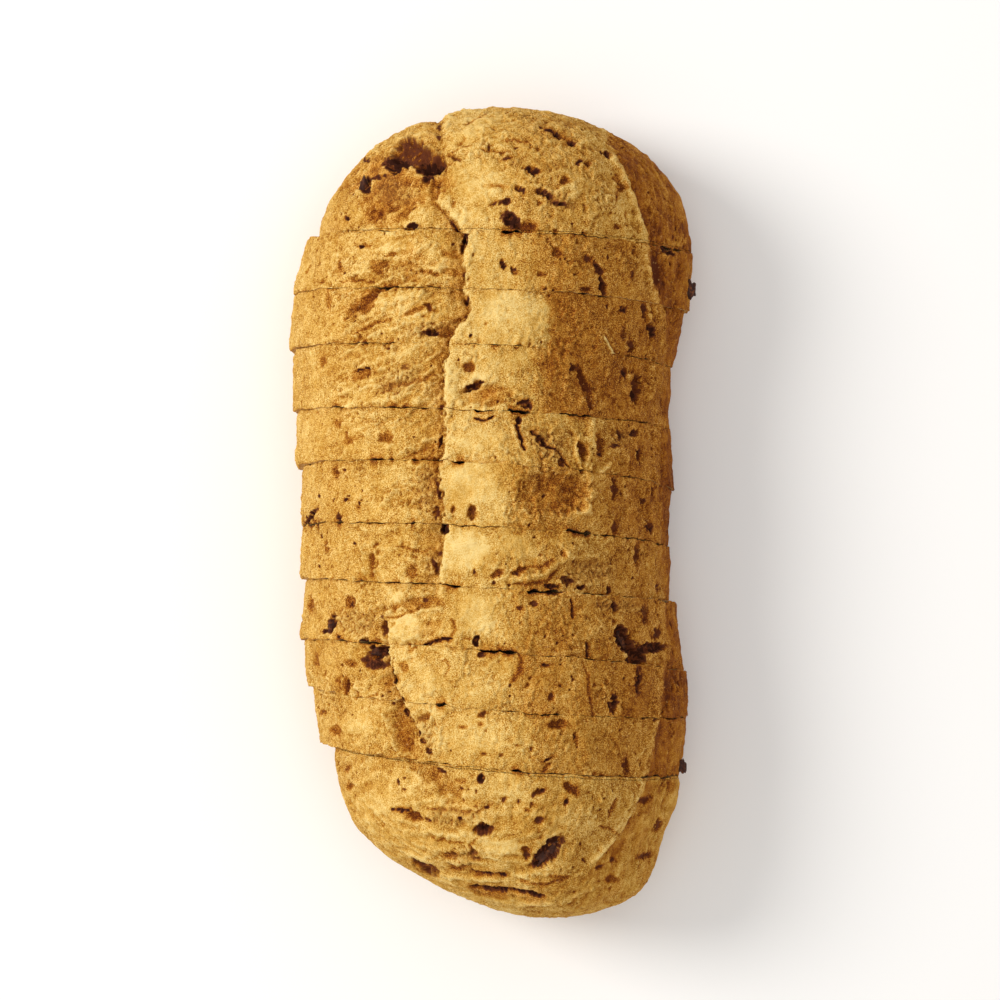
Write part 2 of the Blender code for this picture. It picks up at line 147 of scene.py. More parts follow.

# Dark or brown hollows, by piece: pixel column and row, half length and half width in
# pixels, turn in degrees, depth in millimetres, how brown and how dark; the brown and dark are
# partly the crust's own and partly painted shade in the dents
HOLLOWS = {
    "far_heel": (
        (416, 152, 27, 17, 20, 2.4, 1.25, 0.5), (396, 161, 12, 9, 0, 1.8, 1.0, 1.6),
        (427, 163, 13, 9, 0, 1.8, 1.0, 1.6), (427, 176, 6, 3, -10, 1.2, 0.6, 1.0),
        (364, 183, 9, 5, 105, 1.4, 0.6, 1.0), (377, 175, 9, 2.5, -18, 0.6, 0.6, 0.75),
        (365, 158, 4, 2.5, 0, 0.3, 0.4, 0.9), (411, 227, 8, 4, -22, 1.2, 0.6, 1.3),
        (393, 208, 8, 4, -20, 0.5, 0.7, 0.1), (376, 216, 9, 8, 0, 0.5, 0.5, 0.0),
        (396, 180, 52, 50, 0, 0.4, 0.8, 0.0), (346, 217, 2.5, 2, 0, 0.5, 0.5, 0.9),
        (414, 207, 3, 1.5, 0, 0.4, 0.7, 0.3), (380, 233, 4, 2.5, 0, 0.6, 0.8, 0.2),
        (557, 133, 6, 3, 35, 1.0, 0.6, 1.0), (570, 141, 6, 2, 30, 0.9, 0.7, 1.0),
        (605, 153, 6, 2.5, 30, 0.9, 0.6, 1.0), (533, 169, 7, 3.5, 20, 1.4, 0.8, 1.0),
        (587, 164, 4, 5, 0, 0.8, 0.9, 0.25), (580, 160, 2.5, 3.5, 30, 0.7, 0.8, 0.9),
        (565, 179, 4, 4.5, 0, 0.6, 0.8, 0.1), (519, 189, 5, 3, 30, 1.0, 0.7, 1.0),
        (505, 201, 6, 3, -20, 1.0, 0.8, 0.95), (493, 203, 4, 1.5, -30, 0.7, 0.6, 0.8),
        (544, 192, 9, 3, 28, 1.2, 0.8, 1.0), (560, 203, 7, 2, 10, 1.0, 0.8, 0.9),
        (511, 219, 13, 7, 48, 1.8, 0.9, 1.0), (528, 226, 11, 8, 0, 0.8, 1.0, 0.1),
        (497, 185, 8, 1.5, 0, 0.5, 0.7, 0.2), (507, 157, 5, 1.5, -20, 0.4, 0.7, 0.6),
        (625, 186, 3, 4, 0, 0.6, 0.9, 0.2), (618, 226, 3, 2, 20, 0.4, 0.8, 0.2),
        (455, 157, 9, 3, 30, 0.5, 0.6, 0.3), (434, 187, 5, 13, -8, 0.9, 0.7, 0.15),
        (687, 229, 5, 9, -12, 0.8, 0.6, 1.0),
    ),
    "slice_1": (
        (465, 238, 4, 6, 0, 2.0, 1.0, 0.9), (461, 247, 3, 5, 0, 1.2, 0.9, 0.5),
        (450, 253, 11, 6, 0, 0.5, 0.5, 0.0), (503, 264, 2.5, 5, -15, 0.9, 0.7, 0.9),
        (514, 270, 4, 3, 40, 0.9, 0.9, 0.7), (558, 252, 6, 4, 40, 0.6, 0.9, 0.15),
        (589, 258, 4, 3, 30, 0.6, 0.9, 0.5), (599, 267, 8, 3, 55, 1.0, 1.0, 0.8),
        (604, 286, 3, 8, -8, 1.2, 1.0, 1.0), (585, 289, 5, 3, 0, 0.6, 0.9, 0.2),
        (631, 274, 2, 3.5, 0, 0.5, 0.8, 0.4), (633, 251, 1.5, 2, 0, 0.4, 0.6, 1.0),
        (359, 246, 1.5, 1.5, 0, 0.4, 0.4, 0.9), (390, 254, 4, 1.5, -15, 0.4, 0.8, 0.1),
        (377, 266, 10, 9, 0, 0.6, 0.6, 0.0), (414, 262, 14, 22, 0, 0.1, 0.35, 0.0),
        (428, 272, 12, 2.5, 10, 0.5, 0.7, 0.0), (451, 271, 9, 5, 0, 0.5, 0.5, 0.0),
        (670, 250, 9, 3, 28, 0.8, 0.6, 1.0), (657, 270, 6, 18, -4, 0.3, 0.9, 0.2),
        (339, 266, 2, 6, 0, 0.4, 0.6, 0.0),
    ),
    "slice_2": (
        (364, 301, 22, 10, -42, 1.0, 1.0, 0.0), (428, 307, 6, 3, 42, 0.9, 1.0, 0.3),
        (413, 311, 12, 2, -24, 0.6, 0.6, 0.0), (430, 332, 9, 3.5, 8, 1.3, 0.8, 1.0),
        (442, 331, 12, 6, 0, 0.7, 0.8, 0.1), (466, 300, 3, 5, 0, 1.0, 0.9, 0.7),
        (644, 311, 2.7, 8, 0, 1.0, 0.9, 0.8), (651, 330, 3, 9, -8, 1.0, 0.8, 1.0),
        (624, 310, 2, 3.5, 0, 0.5, 0.7, 1.0), (624, 334, 2.5, 6, 0, 0.5, 0.8, 0.2),
        (632, 348, 3, 8, 0, 0.8, 0.9, 0.5), (471, 336, 1.5, 2, 0, 0.5, 0.5, 0.9),
        (486, 323, 1.5, 1.5, 0, 0.4, 0.6, 0.6), (328, 300, 3, 9, 0, 0.4, 0.5, 0.0),
    ),
    "slice_3": (
        (469, 367, 7, 5, 0, 1.0, 1.0, 0.25), (459, 360, 1.5, 1.5, 0, 0.5, 0.6, 0.9),
        (474, 386, 13, 3, -24, 1.8, 0.8, 1.0), (485, 395, 26, 12, 0, 1.0, 0.5, 0.0),
        (488, 394, 10, 7, 0, 0.5, 0.75, 0.0), (362, 374, 13, 4, -22, 0.7, 0.8, 0.15),
        (422, 378, 9, 3, -20, 0.6, 0.7, 0.0), (390, 384, 7, 3, -20, 0.5, 0.6, 0.0),
        (573, 368, 5, 3, 10, 0.7, 0.9, 0.8), (585, 382, 15, 3.5, 68, 0.6, 1.0, 0.25),
        (636, 387, 6, 20, 3, 1.8, 1.0, 0.35), (635, 391, 4, 14, 0, 0.6, 0.9, 1.0),
        (624, 373, 1.5, 5, 0, 0.5, 0.8, 0.9), (527, 407, 5, 3, 20, 1.0, 0.8, 0.9),
        (322, 361, 4, 6, 0, 0.5, 0.6, 0.0), (404, 367, 4, 4, 0, 0.4, 0.6, 0.0),
        (661, 352, 3, 8, 0, 0.5, 0.9, 0.6),
    ),
    "slice_4": (
        (385, 437, 8, 8, 0, 0.6, 0.8, 0.1), (424, 452, 24, 9, -26, 0.6, 0.5, 0.0),
        (428, 461, 8, 5, 0, 0.6, 0.8, 0.1), (519, 421, 4, 4, 0, 1.2, 0.8, 0.9),
        (542, 441, 6, 4, 30, 1.2, 0.9, 0.6), (562, 464, 3, 4, 0, 1.0, 0.9, 0.6),
        (582, 450, 4, 9, -12, 1.4, 1.0, 0.3), (600, 446, 5, 12, 0, 1.0, 0.9, 0.05),
        (602, 455, 1.5, 1.5, 0, 0.4, 0.6, 0.9), (644, 415, 5, 6, 0, 1.0, 0.9, 0.7),
        (620, 436, 1.5, 5, 0, 0.8, 0.8, 0.9), (634, 433, 4, 4, 0, 0.8, 0.9, 0.8),
        (616, 446, 5, 1.5, 0, 0.6, 0.8, 0.8), (639, 456, 1.5, 8, 0, 0.9, 0.9, 0.8),
        (336, 423, 2.5, 4, 0, 0.3, 0.6, 0.0), (350, 440, 10, 4, -20, 0.3, 0.4, 0.0),
    ),
    "slice_5": (
        (472, 513, 5, 8, 0, 1.4, 1.0, 0.3), (452, 510, 2, 4, 0, 0.6, 0.9, 0.2),
        (357, 506, 1.5, 4.5, 0, 0.9, 0.7, 0.95), (311, 517, 11, 3, -55, 1.4, 0.7, 1.0),
        (340, 518, 2.5, 5, -15, 0.8, 0.7, 0.9), (345, 500, 1.5, 1.5, 0, 0.4, 0.5, 0.9),
        (320, 496, 1.5, 1.5, 0, 0.4, 0.5, 0.8), (335, 472, 2.5, 6, 0, 0.4, 0.7, 0.0),
        (418, 500, 16, 18, 0, 0.3, 0.2, 0.0), (438, 494, 2.5, 6, 0, 0.8, 0.7, 0.7),
        (434, 513, 4, 7, 0, 0.7, 0.7, 0.5), (545, 492, 40, 23, 0, 0.9, 0.25, 0.0),
        (562, 492, 24, 22, 0, 0.5, 0.32, 0.0), (571, 490, 8, 17, 0, 0.4, 0.45, 0.0),
        (616, 488, 3.5, 11, 0, 1.0, 1.0, 0.4), (652, 493, 2, 6, 0, 0.8, 0.8, 0.8),
        (644, 501, 2, 2.5, 0, 0.6, 0.8, 0.7), (649, 528, 3, 5, 0, 0.8, 0.9, 0.9),
        (615, 528, 2.5, 5, 0, 0.5, 0.9, 0.3),
    ),
    "slice_6": (
        (444, 529, 5, 6, 0, 2.6, 1.0, 1.0), (521, 570, 9, 4, -28, 1.0, 1.0, 0.15),
        (517, 574, 3, 2.5, 0, 0.6, 0.8, 0.7), (498, 573, 7, 4, -30, 0.8, 0.9, 0.1),
        (371, 565, 4, 16, 0, 0.7, 0.7, 0.1), (411, 571, 6, 10, 0, 0.5, 0.6, 0.0),
        (433, 566, 3, 8, -20, 0.8, 0.7, 0.5), (325, 546, 2.5, 5, 0, 0.4, 0.6, 0.0),
        (475, 572, 1.5, 2.5, 0, 0.4, 0.6, 0.6), (355, 543, 1.5, 1.5, 0, 0.4, 0.5, 0.7),
        (637, 555, 3, 11, 0, 0.9, 1.0, 0.3), (643, 536, 3, 5, 0, 0.6, 0.9, 0.4),
        (566, 580, 8, 4, 10, 1.2, 0.9, 0.8), (586, 570, 24, 14, 0, 0.8, 0.15, 0.0),
        (580, 588, 6, 3, 0, 1.0, 0.9, 0.8), (608, 590, 3.5, 3.5, 0, 1.2, 1.0, 0.7),
        (551, 587, 8, 3, 0, 1.2, 1.0, 0.9), (658, 588, 1.5, 5, 0, 0.5, 0.8, 0.7),
    ),
    "slice_7": (
        (331, 624, 3.5, 10, 5, 1.4, 0.8, 0.95), (324, 631, 4, 2, 0, 0.8, 0.6, 0.8),
        (311, 603, 2.5, 9, 5, 0.7, 0.9, 0.15), (350, 602, 6, 7, 0, 0.9, 0.8, 0.0),
        (350, 604, 1.5, 2.5, 0, 0.5, 0.6, 0.7), (382, 627, 3.5, 8, 0, 1.0, 0.9, 0.45),
        (430, 628, 16, 9, -18, 0.2, 0.4, 0.0), (418, 603, 26, 7, -6, 0.6, 0.5, 0.0),
        (364, 640, 5, 3, -10, 1.4, 0.8, 1.0), (394, 608, 2, 3, 0, 0.5, 0.9, 0.1),
        (424, 600, 3, 2, 0, 0.5, 0.7, 0.5), (422, 604, 11, 3, -10, 0.5, 0.7, 0.0),
        (477, 640, 3.5, 6, 0, 1.4, 0.9, 1.0), (534, 603, 4, 4, 0, 0.8, 0.9, 0.4),
        (520, 608, 3, 2, 30, 0.5, 0.7, 0.5), (554, 591, 9, 3, 4, 1.2, 0.9, 1.0),
        (614, 606, 3, 6, 0, 1.0, 0.9, 0.8), (624, 640, 8, 16, -18, 3.0, 1.0, 1.0),
        (635, 658, 9, 12, -10, 2.6, 1.0, 1.0), (650, 648, 15, 5, -6, 1.4, 1.0, 0.9),
        (656, 633, 4, 6, 0, 0.8, 0.9, 0.6), (645, 615, 3, 8, 0, 0.5, 0.9, 0.2),
    ),
    "slice_8": (
        (376, 652, 10, 8, 0, 2.2, 1.0, 1.0), (374, 661, 12, 9, 0, 0.8, 1.0, 0.7),
        (347, 686, 2.5, 8, 5, 1.0, 1.0, 0.2), (341, 680, 3, 3, 0, 0.4, 0.6, 0.0),
        (391, 679, 2, 10, 0, 1.2, 0.9, 1.0), (397, 679, 3, 5, 0, 0.6, 0.7, 0.0),
        (400, 701, 4, 3, 0, 1.0, 0.9, 1.0), (481, 654, 4, 3, -20, 0.9, 1.0, 0.7),
        (546, 665, 3.5, 1.5, 0, 0.6, 0.8, 0.9), (552, 696, 3, 4, 0, 0.6, 0.9, 0.4),
        (614, 703, 3.5, 10, 8, 1.3, 1.0, 0.95), (638, 680, 2.5, 14, 0, 0.9, 0.9, 1.0),
        (316, 660, 2.5, 7, 0, 0.4, 0.6, 0.0), (350, 663, 6, 4, 20, 0.4, 0.6, 0.0),
        (404, 667, 6, 4, 40, 0.4, 0.7, 0.0), (561, 686, 1.5, 1.5, 0, 0.4, 0.7, 0.8),
        (588, 641, 1.5, 2, 0, 0.4, 0.7, 0.8),
    ),
    "slice_9": (
        (402, 712, 3, 4, 0, 1.0, 0.9, 1.0), (402, 740, 8, 14, -22, 0.4, 0.9, 0.0),
        (423, 718, 6, 4, -20, 0.5, 0.7, 0.2), (417, 733, 2.5, 4, 0, 0.9, 0.8, 0.7),
        (421, 741, 2.5, 3, 0, 0.9, 0.8, 0.7), (428, 751, 4, 2.5, 30, 0.9, 0.8, 0.7),
        (336, 730, 6, 6, 0, 0.7, 0.8, 0.05), (322, 713, 2.5, 3, 0, 0.4, 0.8, 0.2),
        (482, 714, 5, 3, -20, 0.6, 0.9, 0.3), (463, 727, 3, 1.5, 0, 0.4, 0.8, 0.3),
        (480, 724, 3, 2, 30, 0.4, 0.7, 0.1), (484, 753, 3, 2.5, 0, 0.5, 0.8, 0.3),
        (557, 724, 10, 5, -5, 0.8, 0.9, 0.1), (575, 736, 1.5, 3, 0, 0.6, 0.8, 0.9),
        (531, 749, 1.5, 1.5, 0, 0.3, 0.7, 0.5), (548, 759, 5, 1.2, -25, 0.7, 0.7, 1.0),
        (627, 765, 3, 9, -8, 0.7, 1.0, 0.4), (679, 768, 4, 7, 15, 0.4, 0.7, 0.9),
    ),
    "near_heel": (
        (440, 771, 6, 2, 20, 0.9, 0.8, 0.8), (461, 789, 3, 2.5, 0, 0.7, 0.8, 0.5),
        (460, 781, 7, 3, 0, 0.4, 0.6, 0.0), (481, 778, 4, 4.5, 20, 1.2, 0.7, 1.0),
        (484, 765, 3, 1.5, 0, 0.5, 0.7, 0.8), (399, 782, 1.8, 2.5, 0, 0.6, 0.7, 0.8),
        (405, 789, 2, 2, 0, 0.6, 0.7, 0.5), (347, 769, 2.5, 3.5, 0, 0.5, 0.8, 0.2),
        (350, 786, 3, 4, 0, 0.4, 0.7, 0.0), (503, 800, 3, 2.5, 0, 0.6, 0.8, 0.4),
        (518, 801, 1.5, 2, 0, 0.5, 0.7, 0.7), (539, 792, 7, 2.5, -28, 0.9, 0.9, 0.7),
        (572, 789, 9, 4, 40, 0.8, 1.0, 0.15), (566, 802, 1.5, 4, 10, 0.6, 0.8, 0.9),
        (528, 810, 3, 2, 0, 0.5, 0.8, 0.3), (540, 819, 5, 3.5, -20, 0.8, 0.9, 0.5),
        (413, 816, 10, 5, 18, 1.2, 0.9, 0.05), (428, 820, 4, 1.5, 30, 0.6, 0.7, 0.7),
        (460, 818, 2, 2, 0, 0.5, 0.7, 0.9), (485, 808, 4, 1.5, -10, 0.6, 0.8, 0.9),
        (484, 829, 11, 6, 0, 1.6, 1.0, 0.7), (485, 828, 5, 5, 0, 1.0, 0.9, 1.0),
        (547, 853, 20, 8, -45, 1.4, 0.9, 1.0), (527, 856, 3.5, 4, 0, 0.8, 1.0, 0.5),
        (527, 850, 5, 4, 0, 0.8, 0.9, 0.0), (426, 868, 17, 5, 30, 1.6, 1.0, 0.4),
        (419, 864, 7, 3, 30, 0.6, 0.9, 0.9), (388, 862, 9, 3, 38, 0.6, 0.9, 0.3),
        (474, 852, 5, 3, 0, 0.6, 0.9, 0.3), (476, 858, 4, 1.5, 0, 0.5, 0.8, 0.3),
        (451, 855, 8, 4, -10, 0.6, 0.8, 0.0), (458, 867, 10, 4, -15, 0.5, 0.7, 0.0),
        (584, 860, 1.5, 1.5, 0, 0.4, 0.7, 0.8), (558, 876, 6, 1.5, 0, 0.4, 0.8, 0.2),
        (599, 866, 4, 2, -20, 0.5, 0.9, 0.5), (613, 860, 3.5, 2, -20, 0.5, 0.9, 0.6),
        (612, 879, 6, 4, 0, 0.5, 0.9, 0.0), (647, 855, 9, 3, -15, 0.5, 1.0, 0.3),
        (658, 826, 3, 9, 35, 0.6, 0.9, 0.5), (662, 840, 4, 7, 35, 0.5, 0.9, 0.2),
        (646, 800, 6, 4, -10, 0.4, 0.9, 0.1), (672, 785, 2.5, 6, 0, 0.5, 0.9, 0.2),
        (534, 905, 3, 1.5, -20, 0.3, 0.8, 0.2),
    ),
}

# Ridges, creases and cracks, by piece: half width in pixels, height in millimetres (below
# zero for a crease), look, and the pixels that it runs through
FOLDS = {
    "far_heel": (
        (3.0, 0.5, "pale", (402, 139), (425, 131), (437, 137)),
        (3.5, 0.6, "pale", (463, 133), (480, 122), (497, 112)),
        (1.5, -0.4, "brown", (464, 123), (478, 117), (492, 110)),
        (1.3, -0.6, "brown", (447, 151), (452, 155), (458, 160)),
        (1.2, -0.5, "brown", (449, 152), (458, 146), (471, 144)),
        (2.0, 0.5, "pale", (446, 170), (455, 164), (470, 160)),
        (1.2, -0.5, "brown", (502, 139), (514, 138), (528, 140)),
        (1.2, -0.4, "brown", (480, 148), (512, 151)),
        (1.4, -0.8, "dark", (540, 126), (551, 129), (562, 136), (575, 143)),
        (2.2, 0.7, "pale", (575, 146), (585, 142), (596, 139), (606, 149)),
        (2.2, 0.9, "pale", (612, 158), (622, 171), (630, 185), (637, 202), (642, 232)),
        (2.0, -0.6, "brown", (617, 172), (622, 183), (617, 200)),
        (3.0, 0.8, "pale", (556, 191), (563, 187), (572, 185), (577, 192), (567, 198)),
        (1.2, 0.5, "pale", (423, 172), (432, 170)),
        (1.4, -0.7, "brown", (438, 176), (430, 186), (431, 198), (446, 216)),
        (1.2, -0.6, "dark", (449, 220), (455, 229), (463, 232)),
    ),
    "slice_1": (
        (2.2, 0.8, "pale", (638, 243), (647, 262), (652, 288)),
        (1.5, 0.5, "pale", (416, 276), (430, 268), (446, 266)),
        (1.4, 0.5, "pale", (408, 284), (425, 276), (448, 274)),
        (1.2, -0.5, "brown", (340, 281), (358, 279), (376, 283)),
        (2.5, 0.5, "pale", (300, 291), (315, 289), (328, 287)),
        (1.5, 0.6, "pale", (467, 246), (470, 256), (467, 270)),
    ),
    "slice_2": (
        (2.6, 0.8, "pale", (345, 330), (368, 314), (395, 300), (430, 292)),
        (2.0, 0.6, "pale", (372, 336), (400, 325), (425, 318)),
        (1.4, -0.6, "brown", (400, 316), (413, 309), (426, 303)),
        (1.6, -0.6, "brown", (352, 334), (375, 322), (392, 318)),
        (1.3, 0.8, "bright", (603, 336), (608, 345), (614, 355)),
        (1.8, 0.6, "pale", (649, 303), (650, 322)), (1.6, 0.5, "pale", (663, 303), (664, 334)),
        (1.2, 0.5, "pale", (627, 338), (625, 347)),
        (2.0, -0.5, "brown", (345, 320), (362, 303), (384, 286)),
    ),
    "slice_3": (
        (1.2, -0.8, "dark", (352, 372), (361, 369), (371, 367)),
        (2.0, 0.7, "pale", (356, 366), (375, 361), (396, 352)),
        (2.0, 0.6, "pale", (372, 390), (392, 378), (414, 368)),
        (1.6, -0.5, "brown", (380, 394), (398, 385), (418, 382)),
        (1.8, 0.6, "pale", (400, 396), (420, 388), (436, 380)),
        (1.5, 0.6, "pale", (467, 361), (474, 363), (478, 367)),
        (2.0, -0.9, "dark", (517, 404), (527, 401), (531, 407)),
        (3.0, 0.9, "plain", (484, 402), (500, 393), (516, 393), (527, 399)),
        (3.0, -1.2, "brown", (573, 367), (580, 372), (586, 384), (591, 408)),
        (4.2, 1.6, "tan", (649, 366), (651, 382), (647, 399)),
        (1.2, 0.5, "pale", (627, 369), (627, 378)),
    ),
    "slice_4": (
        (6.5, 1.5, "tan", (591, 422), (591, 445), (588, 465), (588, 480)),
        (3.0, 1.3, "tan", (609, 464), (601, 471), (592, 480)),
        (1.8, 0.8, "tan", (580, 432), (576, 446), (576, 458), (582, 470)),
        (1.2, -1.0, "dark", (532, 430), (536, 434), (540, 438)),
        (1.2, -1.0, "dark", (544, 441), (549, 447), (555, 449)),
        (1.2, -1.0, "dark", (558, 452), (563, 459), (569, 468)),
        (1.1, 0.7, "pale", (538, 432), (542, 440), (541, 446)),
        (1.1, 0.7, "pale", (552, 442), (555, 449), (553, 456)),
        (1.3, -0.9, "dark", (517, 424), (519, 432), (522, 442), (525, 450)),
        (1.8, 0.7, "pale", (513, 424), (515, 436), (520, 448)),
        (1.5, 0.6, "pale", (398, 453), (420, 442), (445, 432)),
        (1.5, -0.5, "brown", (402, 458), (425, 448), (443, 440)),
        (1.4, -0.5, "brown", (405, 463), (420, 465), (433, 464)),
        (1.2, 0.5, "pale", (636, 452), (637, 463)), (1.2, -0.7, "dark", (440, 436), (437, 448)),
        (1.6, -0.9, "dark", (474, 418), (484, 420), (493, 417)),
        (1.6, 0.6, "pale", (447, 424), (462, 428), (480, 422), (502, 419)),
    ),
    "slice_5": (
        (6.5, 1.5, "tan", (588, 474), (590, 493), (584, 512)),
        (2.4, 0.6, "pale", (572, 513), (590, 513)), (1.2, -0.4, "brown", (543, 477), (544, 492)),
        (1.6, 0.6, "pale", (380, 505), (390, 497), (397, 488)),
        (1.8, 0.5, "pale", (624, 478), (625, 497)),
        (1.6, 0.5, "pale", (440, 478), (443, 500), (446, 518)),
        (1.5, 0.4, "pale", (478, 506), (480, 520)),
    ),
    "slice_6": (
        (1.5, 0.6, "pale", (504, 524), (522, 524), (540, 529), (552, 530)),
        (2.4, -0.9, "brown", (566, 531), (578, 530), (590, 532)),
        (3.6, 1.0, "plain", (511, 579), (528, 578), (542, 575), (556, 564), (573, 547)),
        (1.8, -0.8, "brown", (514, 584), (532, 584), (546, 581), (558, 570)),
        (1.5, -0.5, "brown", (528, 566), (540, 568), (553, 560)),
        (2.4, 0.6, "plain", (561, 563), (572, 558), (589, 556), (602, 559), (615, 568)),
        (1.3, 0.5, "pale", (498, 580), (507, 577), (512, 570)),
        (1.8, 0.5, "pale", (362, 550), (364, 566), (362, 580)),
        (1.4, -0.4, "brown", (395, 545), (420, 552), (434, 548)),
    ),
    "slice_7": (
        (1.8, 0.9, "pale", (390, 621), (398, 619), (410, 614), (428, 609), (442, 610)),
        (1.3, -0.7, "brown", (384, 618), (396, 617), (409, 612), (428, 606)),
        (1.9, -1.4, "dark", (400, 655), (411, 651), (425, 645), (438, 640), (452, 639)),
        (1.6, 0.6, "pale", (362, 589), (359, 597), (356, 605)),
        (1.3, -0.8, "dark", (338, 636), (344, 642), (356, 643)),
        (1.3, -1.0, "dark", (571, 599), (573, 607), (573, 618)),
        (1.8, 0.7, "pale", (575, 594), (590, 593), (601, 596), (610, 604)),
        (1.6, 0.5, "pale", (611, 613), (615, 628), (621, 645), (628, 659)),
        (1.3, -0.9, "dark", (587, 642), (588, 658)), (1.4, 0.5, "pale", (584, 645), (585, 656)),
        (2.5, 0.9, "pale", (616, 616), (622, 617), (621, 625)),
        (1.6, -0.35, "brown", (452, 618), (455, 630), (450, 639)),
    ),
    "slice_8": (
        (1.2, -0.35, "brown", (437, 660), (446, 660), (450, 667), (444, 676)),
        (1.5, -1.2, "dark", (391, 667), (389, 676), (392, 690)),
        (1.5, -1.2, "dark", (484, 647), (500, 649), (518, 650)),
        (2.0, -0.2, "brown", (519, 652), (521, 662), (519, 672), (511, 682)),
        (1.4, -0.4, "brown", (583, 661), (587, 672), (589, 690), (592, 705), (593, 720)),
        (1.0, -0.5, "brown", (352, 698), (360, 696)), (1.0, -0.5, "brown", (365, 697), (377, 693)),
        (1.4, 0.5, "pale", (354, 684), (361, 692)),
        (2.0, 1.0, "pale", (379, 690), (379, 700), (382, 712)),
        (5.0, -1.8, "valley", (385, 678), (387, 698), (392, 712)),
        (1.4, 0.5, "pale", (618, 693), (619, 712)),
    ),
    "slice_9": (
        (2.0, 1.2, "pale", (382, 714), (387, 723), (391, 737), (395, 750)),
        (7.0, -2.8, "valley", (396, 706), (401, 728), (405, 740), (413, 760)),
        (1.3, -0.8, "brown", (576, 731), (578, 748)), (1.5, 0.6, "pale", (570, 742), (566, 752)),
        (2.0, 0.8, "pale", (655, 715), (650, 740), (636, 760), (634, 780)),
        (2.2, -0.9, "brown", (628, 758), (627, 770), (625, 781)),
        (2.0, -0.7, "brown", (551, 763), (543, 772)),
        (1.8, 0.5, "pale", (436, 722), (438, 740), (446, 752)),
    ),
    "near_heel": (
        (1.8, 0.7, "pale", (405, 769), (419, 778), (427, 787), (438, 796)),
        (7.0, -2.6, "valley", (408, 750), (425, 769), (438, 781), (456, 798)),
        (1.4, -0.8, "dark", (394, 809), (403, 810), (412, 809)),
        (1.2, -0.6, "brown", (427, 808), (452, 810), (477, 812), (488, 808)),
        (1.6, 0.5, "pale", (392, 803), (412, 803), (430, 800)),
        (1.5, 0.6, "pale", (424, 829), (448, 835), (470, 836)),
        (1.3, -0.5, "brown", (430, 838), (450, 842), (466, 842)),
        (1.2, -0.6, "brown", (478, 836), (470, 845), (474, 853)),
        (1.8, 0.8, "pale", (473, 844), (480, 850), (485, 856), (500, 858)),
        (2.4, 0.9, "pale", (402, 851), (422, 857), (445, 862), (470, 862)),
        (1.4, -0.9, "dark", (471, 870), (484, 872), (497, 873), (508, 875)),
        (2.2, 0.9, "pale", (442, 875), (470, 877), (508, 878), (540, 872)),
        (2.6, -2.0, "dark", (471, 884), (489, 888), (509, 890), (529, 892), (544, 896)),
        (2.0, 0.6, "pale", (480, 896), (520, 901), (560, 900), (600, 884)),
        (1.6, -0.6, "brown", (520, 880), (545, 884), (570, 876)),
        (2.4, 1.0, "pale", (631, 793), (629, 806), (621, 823), (613, 832)),
        (2.4, -0.9, "brown", (616, 798), (613, 808), (608, 817)),
        (2.4, 1.0, "pale", (612, 838), (602, 850), (589, 863)),
        (1.5, 0.6, "pale", (581, 813), (589, 813), (596, 817)),
        (1.2, 0.5, "pale", (588, 806), (588, 822)),
        (1.2, -0.6, "brown", (599, 826), (610, 829), (620, 834)),
    ),
}

# Each look of fold: how broad and how steep against the widths and heights above, how
# pale and how brown; the paleness is painted light on ridges and the brown painted shade in
# creases and valleys
FOLD_LOOKS = {
    "dark": (1.0, 1.0, 0.0, 0.6),
    "brown": (1.4, 0.6, 0.0, 0.5),
    "valley": (2.1, 0.8, 0.0, 0.36),
    "plain": (1.5, 0.8, 0.0, 0.0),
    "tan": (1.0, 1.0, 0.2, 0.0),
    "pale": (1.4, 0.65, 0.28, 0.0),
    "bright": (0.9, 1.0, 1.6, 0.0),
}

# Smooth pale skins and flaps: pixel column and row, half length, half width, turn, rise
# in millimetres and how pale
SKINS = {
    "far_heel": (
        (478, 126, 30, 9, -26, 0.2, 0.6), (478, 182, 30, 22, 0, 0.2, 0.7),
        (482, 214, 20, 7, 0, 0.2, 0.5),
    ),
    "slice_1": (
        (484, 262, 17, 24, 0, 0.2, 0.5), (400, 243, 34, 6, 0, 0.2, 0.1),
    ),
    "slice_2": (
        (506, 320, 46, 34, 0, 0.2, 0.75), (395, 295, 30, 5, -14, 0.2, 0.4),
    ),
    "slice_3": (
        (502, 360, 26, 10, 0, 0.2, 0.45), (450, 380, 8, 24, 0, 0.2, 0.5),
    ),
    "slice_4": (
        (478, 440, 32, 15, -8, 0.4, 0.65), (540, 425, 16, 4, 10, 0.3, 0.3),
    ),
    "slice_5": (
        (470, 484, 34, 28, 0, 0.2, 0.85), (500, 500, 14, 20, 0, 0.1, 0.4),
    ),
    "slice_6": (
        (466, 552, 26, 26, 0, 0.2, 1.3), (510, 545, 30, 12, 14, 0.2, 0.5),
    ),
    "slice_7": (
        (406, 630, 20, 14, -20, 1.0, 0.9), (474, 612, 22, 22, 0, 0.3, 0.7),
        (398, 597, 6, 8, 0, 0.4, 0.8),
    ),
    "slice_8": (
        (430, 680, 26, 10, 30, 0.3, 0.5), (475, 690, 26, 14, 0, 0.3, 0.1),
    ),
    "slice_9": (
        (480, 738, 38, 22, 4, 0.2, 0.4), (355, 725, 22, 14, 0, 0.2, 0.6),
    ),
    "near_heel": (
        (506, 785, 20, 16, 0, 0.2, 0.5), (500, 846, 24, 9, 4, 0.5, 1.0),
        (385, 800, 22, 16, 20, 0.2, 0.4),
    ),
}

SKIN_PALENESS = 0.7
BROAD_HOLLOW = 24.0  # a hollow whose half width in pixels is above this browns in streaks

# Layers of flaking crust: seed, spacing of the patches in millimetres, the level at which
# a patch ends, and thickness
FLAKES = ((91, 9.0, 0.1, 0.26), (92, 6.0, 0.3, 0.22), (93, 13.0, -0.2, 0.3))
